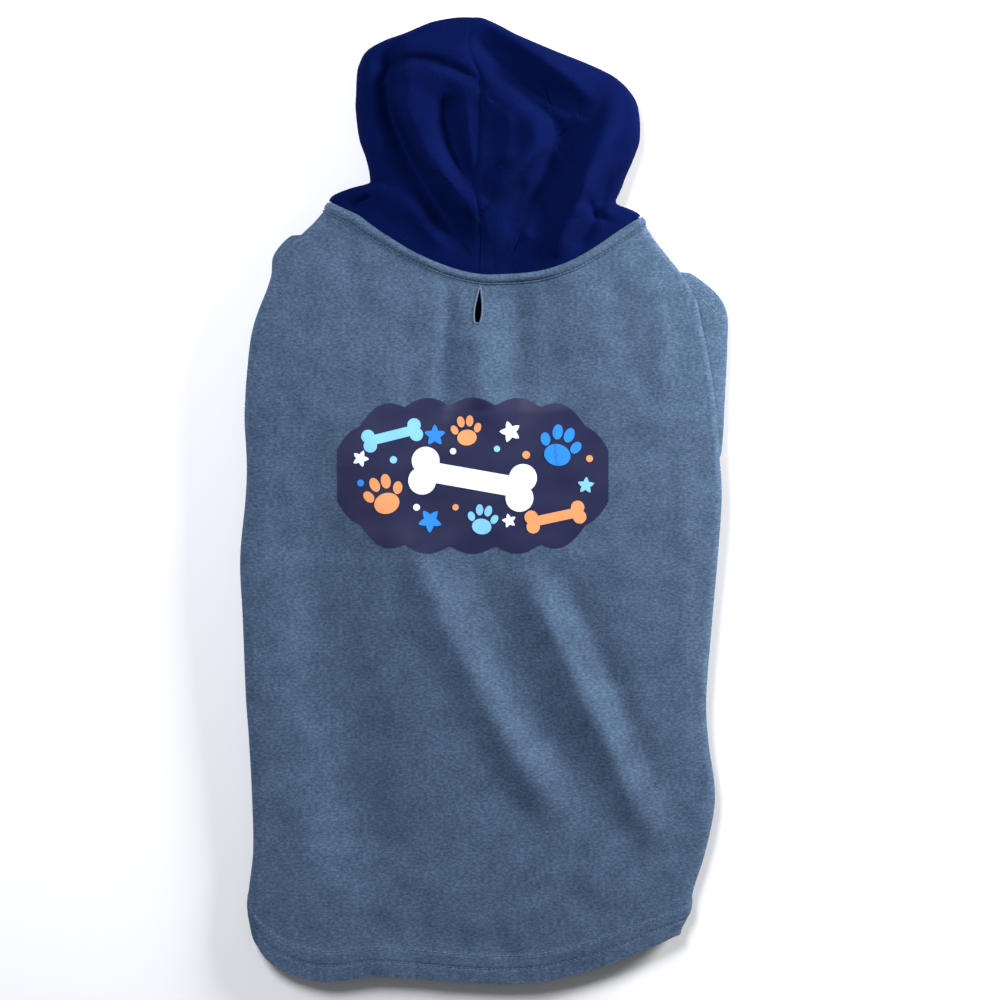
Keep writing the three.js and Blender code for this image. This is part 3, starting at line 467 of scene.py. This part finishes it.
# The place of the garment in the shared frame: the print's node says how far its middle was moved
print_low, print_high = (np.array(corner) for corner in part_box("back_print"))
print_middle = (print_low + print_high) / 2
SHIFT = np.array([print_middle[0] - PRINT_SHIFT * MM, print_middle[1] + PRINT_FROM_NECK * MM, 0])


def to_frame(places):
    return places * MM + SHIFT


def pick(*pieces):
    """Selects these pieces alone and makes the first of them the active one"""
    bpy.ops.object.select_all(action="DESELECT")
    for piece in pieces:
        piece.select_set(True)
    if pieces:
        bpy.context.view_layer.objects.active = pieces[0]


def thicken(piece, thickness):
    wall = piece.modifiers.new("wall", "SOLIDIFY")
    wall.thickness = thickness * MM
    wall.offset = 0
    bpy.ops.object.modifier_apply(modifier="wall")


def dress(piece, material):
    piece.data.materials.clear()
    piece.data.materials.append(material)


def line_along(name, path, closed=False):
    """A line through places in the garment, in millimetres"""
    curve = bpy.data.curves.new(name, "CURVE")
    curve.dimensions = "3D"
    line = curve.splines.new("POLY")
    line.points.add(len(path) - 1)
    for point, place in zip(line.points, to_frame(path)):
        point.co = (*place, 1)
    line.use_cyclic_u = closed
    holder = bpy.data.objects.new(name, curve)
    bpy.context.scene.collection.objects.link(holder)
    return holder


def cloth_piece(name, places, thickness, material, crease=35, plan_chart=False):
    """A sheet whose grid corners go to places, rows by columns, in millimetres; its chart holds the cloth's
    own lengths in metres, or its places in the plane"""
    rows, columns = places.shape[:2]
    bpy.ops.object.select_all(action="DESELECT")
    bpy.ops.mesh.primitive_grid_add(x_subdivisions=columns - 1, y_subdivisions=rows - 1, size=2)
    piece = bpy.context.object
    piece.name = name
    corners = np.zeros(len(piece.data.vertices) * 3)
    piece.data.vertices.foreach_get("co", corners)
    corners = corners.reshape(-1, 3)
    column = np.rint((corners[:, 0] + 1) / 2 * (columns - 1)).astype(int)
    row = np.rint((1 - corners[:, 1]) / 2 * (rows - 1)).astype(int)
    piece.data.vertices.foreach_set("co", to_frame(places[row, column]).ravel())
    steps = np.linalg.norm(np.diff(places, axis=1), axis=2)
    across = np.concatenate([np.zeros((rows, 1)), np.cumsum(steps, axis=1)], axis=1)
    across -= across[:, columns // 2][:, None]
    down = np.concatenate([[0], np.cumsum(np.linalg.norm(np.diff(places[:, columns // 2], axis=0), axis=1))])
    chart = np.stack([across[row, column], down[row]], axis=1) * MM
    if plan_chart:
        chart = places[row, column, :2] * MM
    loops = np.zeros(len(piece.data.loops), int)
    piece.data.loops.foreach_get("vertex_index", loops)
    piece.data.uv_layers[0].data.foreach_set("uv", chart[loops].ravel())
    piece.data.update()
    if thickness:
        thicken(piece, thickness)
    bpy.ops.object.shade_smooth_by_angle(angle=math.radians(crease))
    dress(piece, material)
    return piece


def round_rim(piece, width, segments=2):
    """Rounds the sharp rim of a wall of cloth"""
    pick(piece)
    rim = piece.modifiers.new("rim", "BEVEL")
    rim.width = width * MM
    rim.segments = segments
    rim.limit_method = "ANGLE"
    rim.angle_limit = math.radians(60)
    bpy.ops.object.modifier_apply(modifier="rim")
    bpy.ops.object.shade_smooth_by_angle(angle=math.radians(50))


def normals_of(places):
    down = np.gradient(places, axis=0)
    across = np.gradient(places, axis=1)
    normal = np.cross(down, across)
    return normal / np.linalg.norm(normal, axis=2, keepdims=True)


# Materials


def linear(hex_colour):
    """A colour written as sRGB hex, as the shader's linear colour"""
    parts = [int(hex_colour[at : at + 2], 16) / 255 for at in (1, 3, 5)]
    return [*(p / 12.92 if p <= 0.04045 else ((p + 0.055) / 1.055) ** 2.4 for p in parts), 1]


def add_node(tree, kind, settings, inputs):
    """Adds a node with its settings, its values and its links"""
    made = tree.nodes.new(kind)
    for key, value in settings.items():
        setattr(made, key, value)
    for key, value in inputs.items():
        if isinstance(value, bpy.types.NodeSocket):
            tree.links.new(value, made.inputs[key])
        else:
            made.inputs[key].default_value = value
    return made


def new_material(name, roughness, sheen, sheen_colour, specular=0.3):
    material = bpy.data.materials.new(name)
    material.use_nodes = True
    shader = material.node_tree.nodes["Principled BSDF"]
    shader.inputs["Roughness"].default_value = roughness
    shader.inputs["Sheen Weight"].default_value = sheen
    shader.inputs["Sheen Roughness"].default_value = 0.5
    shader.inputs["Sheen Tint"].default_value = linear(sheen_colour)
    shader.inputs["Specular IOR Level"].default_value = specular
    return material, material.node_tree, shader


def add_relief(tree, shader, height, strength, depth):
    """Fine relief of the surface, its depth in metres"""
    inputs = {"Height": height, "Strength": strength, "Distance": depth}
    bump = add_node(tree, "ShaderNodeBump", {}, inputs).outputs[0]
    tree.links.new(bump, shader.inputs["Normal"])


def heather_fleece():
    """Cotton and polyester fleece, knitted from yarn of dyed and undyed fibres: matte, with short streaks of
    light and dark along the knitted rows, each 2 to 4 mm long, and a faint fuzz"""
    material, tree, shader = new_material("heather_fleece", 0.95, 0.08, "#9fb4d0", 0.1)
    chart = add_node(tree, "ShaderNodeTexCoord", {}, {}).outputs["UV"]
    rows = add_node(tree, "ShaderNodeMapping", {}, {"Vector": chart, "Scale": (300, 560, 1)}).outputs[0]
    streaks = add_node(tree, "ShaderNodeTexNoise", {"noise_dimensions": "2D"},
                       {"Vector": rows, "Scale": 1, "Detail": 4, "Roughness": 0.75}).outputs[0]
    grain = add_node(tree, "ShaderNodeTexNoise", {"noise_dimensions": "2D"},
                     {"Vector": chart, "Scale": 1100, "Detail": 1}).outputs[0]
    patches = add_node(tree, "ShaderNodeTexNoise", {"noise_dimensions": "2D"},
                       {"Vector": chart, "Scale": 42, "Detail": 5, "Roughness": 0.75}).outputs[0]
    light = add_node(tree, "ShaderNodeMapRange", {}, {
        "Value": streaks, "From Min": 0.48, "From Max": 0.8, "To Min": 0, "To Max": 1}).outputs[0]
    dark = add_node(tree, "ShaderNodeMapRange", {}, {
        "Value": streaks, "From Min": 0.52, "From Max": 0.22, "To Min": 0, "To Max": 1}).outputs[0]
    lighter = add_node(tree, "ShaderNodeMix", {"data_type": "RGBA"}, {
        "Factor": light, "A": linear("#42546a"), "B": linear("#576c86")}).outputs[2]
    darker = add_node(tree, "ShaderNodeMix", {"data_type": "RGBA"}, {
        "Factor": dark, "A": lighter, "B": linear("#304055")}).outputs[2]
    speckled = add_node(tree, "ShaderNodeMix", {"data_type": "RGBA", "blend_type": "OVERLAY"}, {
        "Factor": 0.2, "A": darker, "B": grain}).outputs[2]
    worn = add_node(tree, "ShaderNodeMix", {"data_type": "RGBA", "blend_type": "SOFT_LIGHT"}, {
        "Factor": 0.5, "A": speckled, "B": patches}).outputs[2]
    tree.links.new(worn, shader.inputs["Base Color"])
    add_relief(tree, shader, grain, 0.3, 0.0003)
    return material


def navy_fleece():
    """The same fleece dyed navy in one bath: even and deep, with a soft blue bloom from its raised fibres"""
    material, tree, shader = new_material("navy_fleece", 0.95, 0.03, "#1c3cb0", 0.03)
    chart = add_node(tree, "ShaderNodeTexCoord", {}, {}).outputs["UV"]
    rows = add_node(tree, "ShaderNodeMapping", {}, {"Vector": chart, "Scale": (700, 500, 1)}).outputs[0]
    knit = add_node(tree, "ShaderNodeTexNoise", {"noise_dimensions": "2D"},
                    {"Vector": rows, "Scale": 1, "Detail": 2, "Roughness": 0.6}).outputs[0]
    patches = add_node(tree, "ShaderNodeTexNoise", {"noise_dimensions": "2D"},
                       {"Vector": chart, "Scale": 22, "Detail": 3}).outputs[0]
    colour = add_node(tree, "ShaderNodeMix", {"data_type": "RGBA"}, {
        "Factor": knit, "A": linear("#020929"), "B": linear("#041248")}).outputs[2]
    faded = add_node(tree, "ShaderNodeMix", {"data_type": "RGBA", "blend_type": "SOFT_LIGHT"}, {
        "Factor": 0.3, "A": colour, "B": patches}).outputs[2]
    tree.links.new(faded, shader.inputs["Base Color"])
    add_relief(tree, shader, knit, 0.35, 0.0004)
    return material


def cotton_thread(name, colour, shade):
    """Spun polyester thread: a slight gloss, twisted, with painted shade: bands of its darker colour in the
    turns of its ply
    """
    material, tree, shader = new_material(name, 0.7, 0.2, colour)
    chart = add_node(tree, "ShaderNodeTexCoord", {}, {}).outputs["Object"]
    ply = add_node(tree, "ShaderNodeTexWave", {"bands_direction": "DIAGONAL"}, {
        "Vector": chart, "Scale": 500, "Distortion": 1}).outputs["Fac"]
    # painted shade: diagonal wave bands mix the thread's colour towards its darker shade colour, standing in
    # for the shade in the turns of the ply
    painted_ply_shade = add_node(tree, "ShaderNodeMix", {"data_type": "RGBA"}, {
        "Factor": ply, "A": linear(shade), "B": linear(colour)}).outputs[2]
    tree.links.new(painted_ply_shade, shader.inputs["Base Color"])
    return material


def binding_tape():
    """Folded polyester tape, woven fine: pale lilac grey, with a faint rib across it"""
    material, tree, shader = new_material("binding_tape", 0.85, 0.05, "#d5daea", 0.1)
    chart = add_node(tree, "ShaderNodeTexCoord", {}, {}).outputs["Object"]
    rib = add_node(tree, "ShaderNodeTexNoise", {}, {"Vector": chart, "Scale": 1500, "Detail": 1}).outputs[0]
    colour = add_node(tree, "ShaderNodeMix", {"data_type": "RGBA"}, {
        "Factor": rib, "A": linear("#4a5870"), "B": linear("#6c7a95")}).outputs[2]
    tree.links.new(colour, shader.inputs["Base Color"])
    add_relief(tree, shader, rib, 0.4, 0.0003)
    return material


def screen_ink(name, colour, shade):
    """Plastisol ink, screen printed and cured: opaque, rubbery and even, with the knit felt through it"""
    material, tree, shader = new_material(name, 0.55, 0, "#ffffff", 0.4)
    chart = add_node(tree, "ShaderNodeTexCoord", {}, {}).outputs["Object"]
    knit = add_node(tree, "ShaderNodeTexNoise", {}, {"Vector": chart, "Scale": 900, "Detail": 2}).outputs[0]
    even = add_node(tree, "ShaderNodeMix", {"data_type": "RGBA"}, {
        "Factor": knit, "A": linear(shade), "B": linear(colour)}).outputs[2]
    tree.links.new(even, shader.inputs["Base Color"])
    add_relief(tree, shader, knit, 0.3, 0.0003)
    return material


HEATHER = heather_fleece()
NAVY = navy_fleece()
# The second colour of each thread is the painted shade in the turns of its ply
THREAD = cotton_thread("grey_thread", "#7f90aa", "#4c5c78")
PALE_THREAD = cotton_thread("pale_thread", "#8899b5", "#65768f")
TAPE = binding_tape()
INKS = {
    "navy": screen_ink("navy_ink", "#0e1442", "#0a0f36"),
    "orange": screen_ink("orange_ink", "#f7a068", "#ec9058"),
    "sky": screen_ink("sky_blue_ink", "#86cbf8", "#74bbee"),
    "blue": screen_ink("mid_blue_ink", "#2389ee", "#187cdd"),
    "white": screen_ink("white_ink", "#eef7fb", "#dcebf2"),
}


# Back


def back_alongs():
    """Rows from the neck to the hem, closer to each other over the turned hem"""
    hem_start = 1 - (HEM_DEPTH + 6) / BACK_LENGTH
    upper = np.linspace(0, hem_start, BACK_ROWS)
    return np.concatenate([upper, np.linspace(hem_start, 1, HEM_ROWS + 1)[1:]])


def back_panel():
    place = np.linspace(0, 1, BACK_COLUMNS + 1)
    rows = []
    for along in back_alongs():
        left = -half_across("left", along, place)[::-1]
        right = half_across("right", along, place)[1:]
        across = np.concatenate([left, right])
        rows.append(body_point(across, along))
    grid = np.stack(rows)
    from_hem = (1 - back_alongs())[:, None] * BACK_LENGTH * np.ones(grid.shape[:2])
    hem = HEM_EXTRA * (1 - ease(from_hem, HEM_DEPTH - 1, HEM_DEPTH + 2))
    for line in HEM_LINES:
        hem -= 0.5 * np.exp(-(((from_hem - line) / 1.1) ** 2))
    drift = 0.4 * np.sin(grid[..., 0] / 17)
    pucker = 0.18 * np.sin(grid[..., 0] / 1.35 + drift) * (1 - ease(from_hem, 14, 26))
    normal = normals_of(grid)
    grid = grid + normal * (hem + pucker)[..., None]
    grid[..., 2] = np.maximum(grid[..., 2], FLEECE / 2)
    piece = cloth_piece("back_panel_fleece", grid, FLEECE, HEATHER, plan_chart=True)
    cut_slot(piece)
    round_rim(piece, 0.7)
    return piece


def slot_outline(margin, steps=18):
    """Outline of the leash slot in the plane: pointed at the top, widest at two thirds of its length"""
    share = np.linspace(0, 1, steps)
    opening = np.sin(math.pi / 2 * np.minimum(share / 0.68, 1)) ** 1.1
    closing = np.sqrt(1 - 0.75 * (np.maximum(share - 0.68, 0) / 0.32) ** 2)
    half = SLOT_WIDTH / 2 * opening * closing + margin
    middle = -1.2 * SLOT_LEAN * share
    down = neck_y(0) - SLOT_FROM_NECK + margin - (SLOT_LENGTH + 2 * margin) * share
    left = np.stack([middle - half, down], axis=1)
    right = np.stack([middle + half, down], axis=1)[::-1]
    return np.concatenate([left, right])


def cut_slot(piece):
    outline = slot_outline(0)
    bpy.ops.object.select_all(action="DESELECT")
    bpy.ops.mesh.primitive_circle_add(vertices=len(outline), fill_type="NGON")
    cutter = bpy.context.object
    for vertex, (x, y) in zip(cutter.data.vertices, outline):
        vertex.co = to_frame(np.array([x, y, LIFT + EDGE_HEIGHT - 4]))
    bpy.ops.object.mode_set(mode="EDIT")
    bpy.ops.mesh.select_all(action="SELECT")
    bpy.ops.mesh.extrude_region_move(TRANSFORM_OT_translate={"value": (0, 0, 0.04)})
    bpy.ops.mesh.select_all(action="SELECT")
    bpy.ops.mesh.normals_make_consistent(inside=False)
    bpy.ops.object.mode_set(mode="OBJECT")
    pick(piece)
    cut = piece.modifiers.new("slot", "BOOLEAN")
    cut.operation = "DIFFERENCE"
    cut.solver = "EXACT"
    cut.object = cutter
    bpy.ops.object.modifier_apply(modifier="slot")
    bpy.data.objects.remove(cutter)


def neck_band():
    """Seam band under the neck: doubled cloth with a stitched groove along its lower edge"""
    across = np.linspace(-1.015, 1.015, 241)
    down = np.linspace(0.4, NECK_BAND, 25)
    x, drop = np.meshgrid(across, down)
    grid = body_point(x, drop / BACK_LENGTH)
    rise = FLEECE / 2 + 0.15 + NECK_BAND_CLOTH / 2
    roll = 1.1 * np.exp(-(((drop - 3.4) / 2.6) ** 2))
    roll -= 1.3 * np.exp(-(((drop - BAND_GROOVE) / 0.7) ** 2))
    grid = grid + normals_of(grid) * (rise + roll)[..., None]
    piece = cloth_piece("neck_band_fleece", grid, NECK_BAND_CLOTH, HEATHER, plan_chart=True)
    round_rim(piece, 0.35)
    return piece


def belly_panel():
    along = np.linspace(0, 1, 90)
    end = 1 + SIDE_WRAP / HALF_BODY
    share = np.linspace(0, 1, 60)
    rows = []
    for step in along:
        sides = []
        for side in ("left", "right"):
            sign = SIDES[side][0]
            near = max(float(wrap_length(side, step + shift * ARMHOLE_EASE)) for shift in (-1, 0, 1))
            wrapped = float(turned_edge(near, EDGE_HEIGHT, FLEECE)[0])
            inset = max(wrapped, (EDGE_HEIGHT + FLEECE) / 2) + SEAM_GAP
            y = float(body_y(sign * end, step))
            sides.append((sign * (float(body_half(side, y)) - inset), y))
        (left, left_y), (right, right_y) = sides
        dip = NECK_RISE * (1 - step) ** 4 * np.sin(math.pi * share)
        y = mix(left_y, right_y, share) - dip
        rows.append(np.stack([mix(left, right, share), y, ground_lift(y) + FLEECE / 2], axis=1))
    piece = cloth_piece("belly_panel_fleece", np.stack(rows), FLEECE, HEATHER)
    round_rim(piece, 0.6)
    return piece


def hood_half(side):
    grid = hood_rows(side)[::-1]
    if side == "left":
        grid = grid[:, ::-1]
    piece = cloth_piece(f"hood_{side}_fleece", grid, FLEECE, NAVY)
    round_rim(piece, 0.5)
    return piece


def sleeve(side):
    """A tube of fleece that turns round the side and lies flat underneath"""
    around = np.linspace(0, 2 * math.pi, 97)
    turns = [(step / 24, 0) for step in range(25)] + [(1, step / 40) for step in range(1, 41)]
    rows = [sleeve_point(side, around, turn, reach) for turn, reach in turns]
    grid = np.stack(rows)
    if side == "right":
        grid = grid[:, ::-1]
    piece = cloth_piece(f"sleeve_{side}_fleece", grid, 0, HEATHER, plan_chart=True)
    pick(piece)
    bpy.ops.object.mode_set(mode="EDIT")
    bpy.ops.mesh.select_all(action="SELECT")
    bpy.ops.mesh.remove_doubles(threshold=0.00001)
    bpy.ops.object.mode_set(mode="OBJECT")
    thicken(piece, SLEEVE_CLOTH)
    bpy.ops.object.shade_smooth_by_angle(angle=math.radians(50))
    return piece


def swept_cord(name, path, radius, material, closed=False):
    """A round cord along places in the garment"""
    cord = line_along(name, path, closed)
    cord.data.bevel_depth = radius * MM
    cord.data.bevel_resolution = 2
    pick(cord)
    bpy.ops.object.convert(target="MESH")
    cord = bpy.context.object
    bpy.ops.object.shade_smooth()
    dress(cord, material)
    return cord


def on_back(plan, rise):
    """Places over the back's upper face for places in the plane"""
    plan = np.asarray(plan, float)
    return np.column_stack([plan, back_top(plan[:, 0], plan[:, 1]) + rise])


def leash_slot_binding():
    """Tape folded round the slot's edge; its two sides meet above the slot and run on to the neck band"""
    ring = slot_outline(BINDING_WIDTH / 2 + 0.1)
    ring_cord = swept_cord("leash_slot_tape", on_back(ring, 0.1), BINDING_WIDTH / 2, TAPE, closed=True)
    stem = [(ring[0, 0] + 0.8, y) for y in np.linspace(ring[0, 1] - 1, neck_y(0) - 3, 8)]
    stem_cord = swept_cord("leash_slot_stem", on_back(stem, -0.1), 0.5, TAPE)
    return join([ring_cord, stem_cord], "leash_slot_tape")


def join(pieces, name):
    pick(*pieces)
    if len(pieces) > 1:
        bpy.ops.object.join()
    joined = bpy.context.object
    joined.name = name
    return joined


# Print


def print_edge(across):
    body = (1 - 0.75 * np.abs(across) ** 5) * 0.9
    return body + 0.1 * np.abs(np.cos(math.pi / 2 * PRINT_SCALLOPS * across))


def print_backing():
    across = np.linspace(-1, 1, 161)
    up = np.linspace(1, -1, 61)
    u, v = np.meshgrid(across, up)
    x = PRINT_SHIFT + PRINT_WIDTH / 2 * u
    y = -PRINT_FROM_NECK + PRINT_HEIGHT / 2 * print_edge(u) * v
    grid = np.stack([x, y, back_top(x, y) + INK_LIFT + INK / 2], axis=-1)
    return cloth_piece("print_backing", grid, INK, INKS["navy"])


def over_backing(x, y):
    """Middle height of a shape of ink that lies on the backing"""
    return back_top(x, y) + INK_LIFT + 1.5 * INK + 0.1


def turned(x, y, middle, turn):
    """Places turned about the print's own axes and moved to a shape's middle"""
    angle = math.radians(turn)
    return (middle[0] + x * math.cos(angle) - y * math.sin(angle),
            middle[1] + x * math.sin(angle) + y * math.cos(angle))


def motif(name, outline, middle, turn, colour, rings=9):
    """A flat shape of ink, filled from its middle to its outline and laid over the backing"""
    shares = np.linspace(0.02, 1, rings)
    plan = outline[None] * shares[:, None, None]
    x, y = turned(plan[..., 0], plan[..., 1], middle, turn)
    grid = np.stack([x, y, over_backing(x, y)], axis=-1)
    return cloth_piece(name, grid[:, ::-1], INK, INKS[colour])


def ellipse(wide, high, count=41):
    angle = np.linspace(0, 2 * math.pi, count)
    return np.stack([wide * np.cos(angle), high * np.sin(angle)], axis=1)


def star(radius, points=5):
    angle = np.linspace(0, 2 * math.pi, points * 12 + 1)
    wave = np.abs(((angle * points / (2 * math.pi)) % 1) - 0.5) * 2
    reach = radius * (0.52 + 0.48 * wave**1.3)
    return np.stack([reach * np.sin(angle), reach * np.cos(angle)], axis=1)


def paw(name, middle, size, turn, colour):
    """A round pad below four toes"""
    parts = [((0, -0.2), (0.42, 0.34), 0)]
    parts += [((-0.5, 0.18), (0.15, 0.21), 25), ((-0.19, 0.5), (0.16, 0.24), 8)]
    parts += [((0.19, 0.5), (0.16, 0.24), -8), ((0.5, 0.18), (0.15, 0.21), -25)]
    pieces = []
    for (x, y), (wide, high), lean in parts:
        at = turned(size * x, size * y, middle, turn)
        pieces.append(motif(name, ellipse(wide * size, high * size), at, turn + lean, colour, 6))
    return join(pieces, name)


def bone(name, middle, length, turn, colour):
    """A shaft with two round knobs at each end and a notch between them"""
    knob, apart = 0.11 * length, 0.08 * length
    centre = length / 2 - knob
    shaft = np.linspace(0, centre - knob, 12)[:-1]
    far = np.concatenate([shaft, centre - knob * np.cos(np.linspace(0, math.pi, 25))])
    far = np.concatenate([-far[:0:-1], far])
    swell = np.sqrt(np.maximum(knob**2 - (np.abs(far) - centre) ** 2, 0))
    u, v = np.meshgrid(far, np.linspace(1, -1, 21))
    notch = knob - np.sqrt(knob**2 - (apart * (1 - np.abs(v))) ** 2)
    notched = u - np.sign(u) * notch * ease(np.abs(u), centre, length / 2)
    x, y = turned(notched, (apart + swell) * v, middle, turn)
    grid = np.stack([x, y, over_backing(x, y)], axis=-1)
    return cloth_piece(name, grid, INK, INKS[colour])


def back_print():
    """Bones, paws, stars and dots, in the print's four colours, from its middle: across, up, size, turn"""
    shapes = [print_backing()]
    centre = np.array([PRINT_SHIFT, -PRINT_FROM_NECK])
    for index, (x, y, size, turn, colour) in enumerate([
        (0, -3, 104, -10, "white"), (-66, 33, 50, 14, "sky"), (68, -34, 50, 12, "orange"),
    ]):
        shapes.append(bone(f"print_bone_{index}", centre + (x, y), size, turn, colour))
    for index, (x, y, size, turn, colour) in enumerate([
        (-72, -18, 25, 18, "orange"), (71, 22, 26, -16, "blue"),
        (-5, 35, 19, 6, "orange"), (8, -38, 19, -8, "sky"),
    ]):
        shapes.append(paw(f"print_paw_{index}", centre + (x, y), size, turn, colour))
    for index, (x, y, size, colour) in enumerate([
        (-31, 33, 9, "blue"), (31, 36, 9, "white"), (-35, -37, 10, "blue"), (-92, 14, 7, "white"),
        (93, -8, 7, "sky"), (30, -37, 6, "white"),
    ]):
        shapes.append(motif(f"print_star_{index}", star(size), centre + (x, y), index * 17, colour, 5))
    for index, (x, y, size, colour) in enumerate([
        (-65, 13, 3, "sky"), (44, 17, 3.2, "orange"), (-46, -26, 2.8, "white"),
        (-16, 20, 2.6, "white"), (20, 22, 2.6, "sky"), (-14, -26, 2.6, "orange"), (-92, -6, 2.8, "blue"),
        (96, 14, 2.8, "orange"),
    ]):
        shapes.append(motif(f"print_dot_{index}", ellipse(size, size, 25), centre + (x, y), 0, colour, 4))
    return join(shapes, "back_print_ink")


def stitch_row(name, path, length, gap, thread, material):
    """Stitches along places in the garment: one is modelled, repeated and bent along the row"""
    bpy.ops.object.select_all(action="DESELECT")
    bpy.ops.mesh.primitive_cylinder_add(vertices=6, radius=thread * MM / 2, depth=length * MM)
    stitch = bpy.context.object
    stitch.name = name
    bpy.ops.object.mode_set(mode="EDIT")
    bpy.ops.mesh.select_all(action="SELECT")
    bpy.ops.mesh.bevel(offset=thread * MM * 0.3, segments=1)
    bpy.ops.object.mode_set(mode="OBJECT")
    places = np.array([vertex.co for vertex in stitch.data.vertices])
    for vertex, (x, y, z) in zip(stitch.data.vertices, places):
        vertex.co = (z + (length + gap) / 2 * MM, y, x)
    total = np.linalg.norm(np.diff(path, axis=0), axis=1).sum()
    count = int(total / (length + gap))
    guide = line_along(name + "_line", path)
    guide.data.twist_mode = "Z_UP"
    repeat = stitch.modifiers.new("repeat", "ARRAY")
    repeat.count = count
    repeat.use_relative_offset = False
    repeat.use_constant_offset = True
    repeat.constant_offset_displace = ((length + gap) * MM, 0, 0)
    bpy.ops.object.modifier_apply(modifier="repeat")
    bend = stitch.modifiers.new("bend", "CURVE")
    bend.object = guide
    bend.deform_axis = "POS_X"
    bpy.ops.object.modifier_apply(modifier="bend")
    bpy.data.objects.remove(guide)
    bpy.ops.object.shade_smooth()
    dress(stitch, material)
    return stitch


def over_hem(from_hem, rise):
    """Places along the hem's upper face, from side to side"""
    across = np.linspace(-0.985, 0.985, 160)
    side = body_point(across, 1 - from_hem / BACK_LENGTH)
    side[:, 2] += FLEECE / 2 + rise
    return side


def over_cap(start, inset, rise):
    """Places along the seam across the right sleeve's cap, from the shoulder to the outermost cloth"""
    share = np.linspace(start, 1, 50)
    around = np.arccos((1 - 2 * CAP_SEAM_END * share) ** (1 / ARMHOLE_ROUNDNESS))
    line = sleeve_point("right", around, 0.25 * share - inset + 0.25 * share**6, 0)
    line[:, 2] += SLEEVE_CLOTH / 2 + rise
    return line


def under_neck(drop, rise):
    across = np.linspace(-0.99, 0.99, 140)
    line = body_point(across, drop / BACK_LENGTH)
    line[:, 2] += FLEECE / 2 + rise
    return line


def show(piece, slot, *nodes):
    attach(piece, "root")
    if nodes:
        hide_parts(*nodes)
    return piece


back = show(back_panel(), "heather_fleece", "back_panel")
belly = show(belly_panel(), "heather_fleece", "belly_panel")
band = show(neck_band(), "heather_fleece", "neck_band")
hood = {side: show(hood_half(side), "navy_fleece", f"hood_{side}") for side in SIDES}
sleeves = {side: show(sleeve(side), "heather_fleece", f"sleeve_{side}") for side in SIDES}
slot_tape = show(leash_slot_binding(), "lilac_binding", "leash_slot_binding")
ink = show(back_print(), "print_ink", "back_print")
hem_stitches = [
    show(
        stitch_row(f"hem_stitches_{row}", over_hem(line, HEM_EXTRA - 0.15), 2.6, 0.9, 0.55, THREAD),
        "heather_fleece",
    )
    for row, line in enumerate(HEM_LINES)
]
cap_stitches = [
    show(
        stitch_row(f"cap_stitches_{row}", over_cap(start, inset, 0), 2.6, 0.6, 0.8, PALE_THREAD),
        "heather_fleece",
    )
    for row, (start, inset) in enumerate(((0.02, 0), (0.24, 0.05)))
]
neck_stitches = show(
    stitch_row("neck_stitches", under_neck(6.9, 0.15 + NECK_BAND_CLOTH - 0.6), 2.4, 0.9, 0.4, THREAD),
    "heather_fleece",
)


# Floor, light and camera


def floor():
    bpy.ops.object.select_all(action="DESELECT")
    bpy.ops.mesh.primitive_plane_add(size=8)
    ground = bpy.context.object
    ground.name = "floor"
    material = bpy.data.materials.new("pale_paper")
    material.use_nodes = True
    shader = material.node_tree.nodes["Principled BSDF"]
    shader.inputs["Base Color"].default_value = linear("#f4f4f4")
    shader.inputs["Roughness"].default_value = 0.9
    ground.data.materials.append(material)
    ground.location.z = -0.0005


def soft_light(name, place, target, size, power, colour):
    lamp = bpy.data.lights.new(name, "AREA")
    lamp.shape = "DISK"
    lamp.size = size
    lamp.energy = power
    lamp.color = linear(colour)[:3]
    holder = bpy.data.objects.new(name, lamp)
    bpy.context.scene.collection.objects.link(holder)
    holder.location = place
    direction = Vector(target) - Vector(place)
    holder.rotation_euler = direction.to_track_quat("-Z", "Y").to_euler()


def light_and_camera():
    world = bpy.data.worlds.new("soft_room")
    bpy.context.scene.world = world
    world.use_nodes = True
    world.node_tree.nodes["Background"].inputs["Color"].default_value = linear("#f2f5fa")
    world.node_tree.nodes["Background"].inputs["Strength"].default_value = 0.2
    soft_light("window", (1.5, 0.8, 0.46), (0, 0, 0), 0.6, 66, "#ffffff")
    soft_light("ceiling", (-0.8, 1.0, 1.6), (0, 0, 0), 0.9, 44, "#f6f8ff")
    camera = bpy.data.cameras.new("camera")
    camera.sensor_width = 36
    camera.lens = 130
    holder = bpy.data.objects.new("camera", camera)
    bpy.context.scene.collection.objects.link(holder)
    holder.location = (0.01345, 0, 2.999)
    bpy.context.scene.camera = holder
    bpy.context.scene.view_settings.view_transform = "Standard"


floor()
light_and_camera()
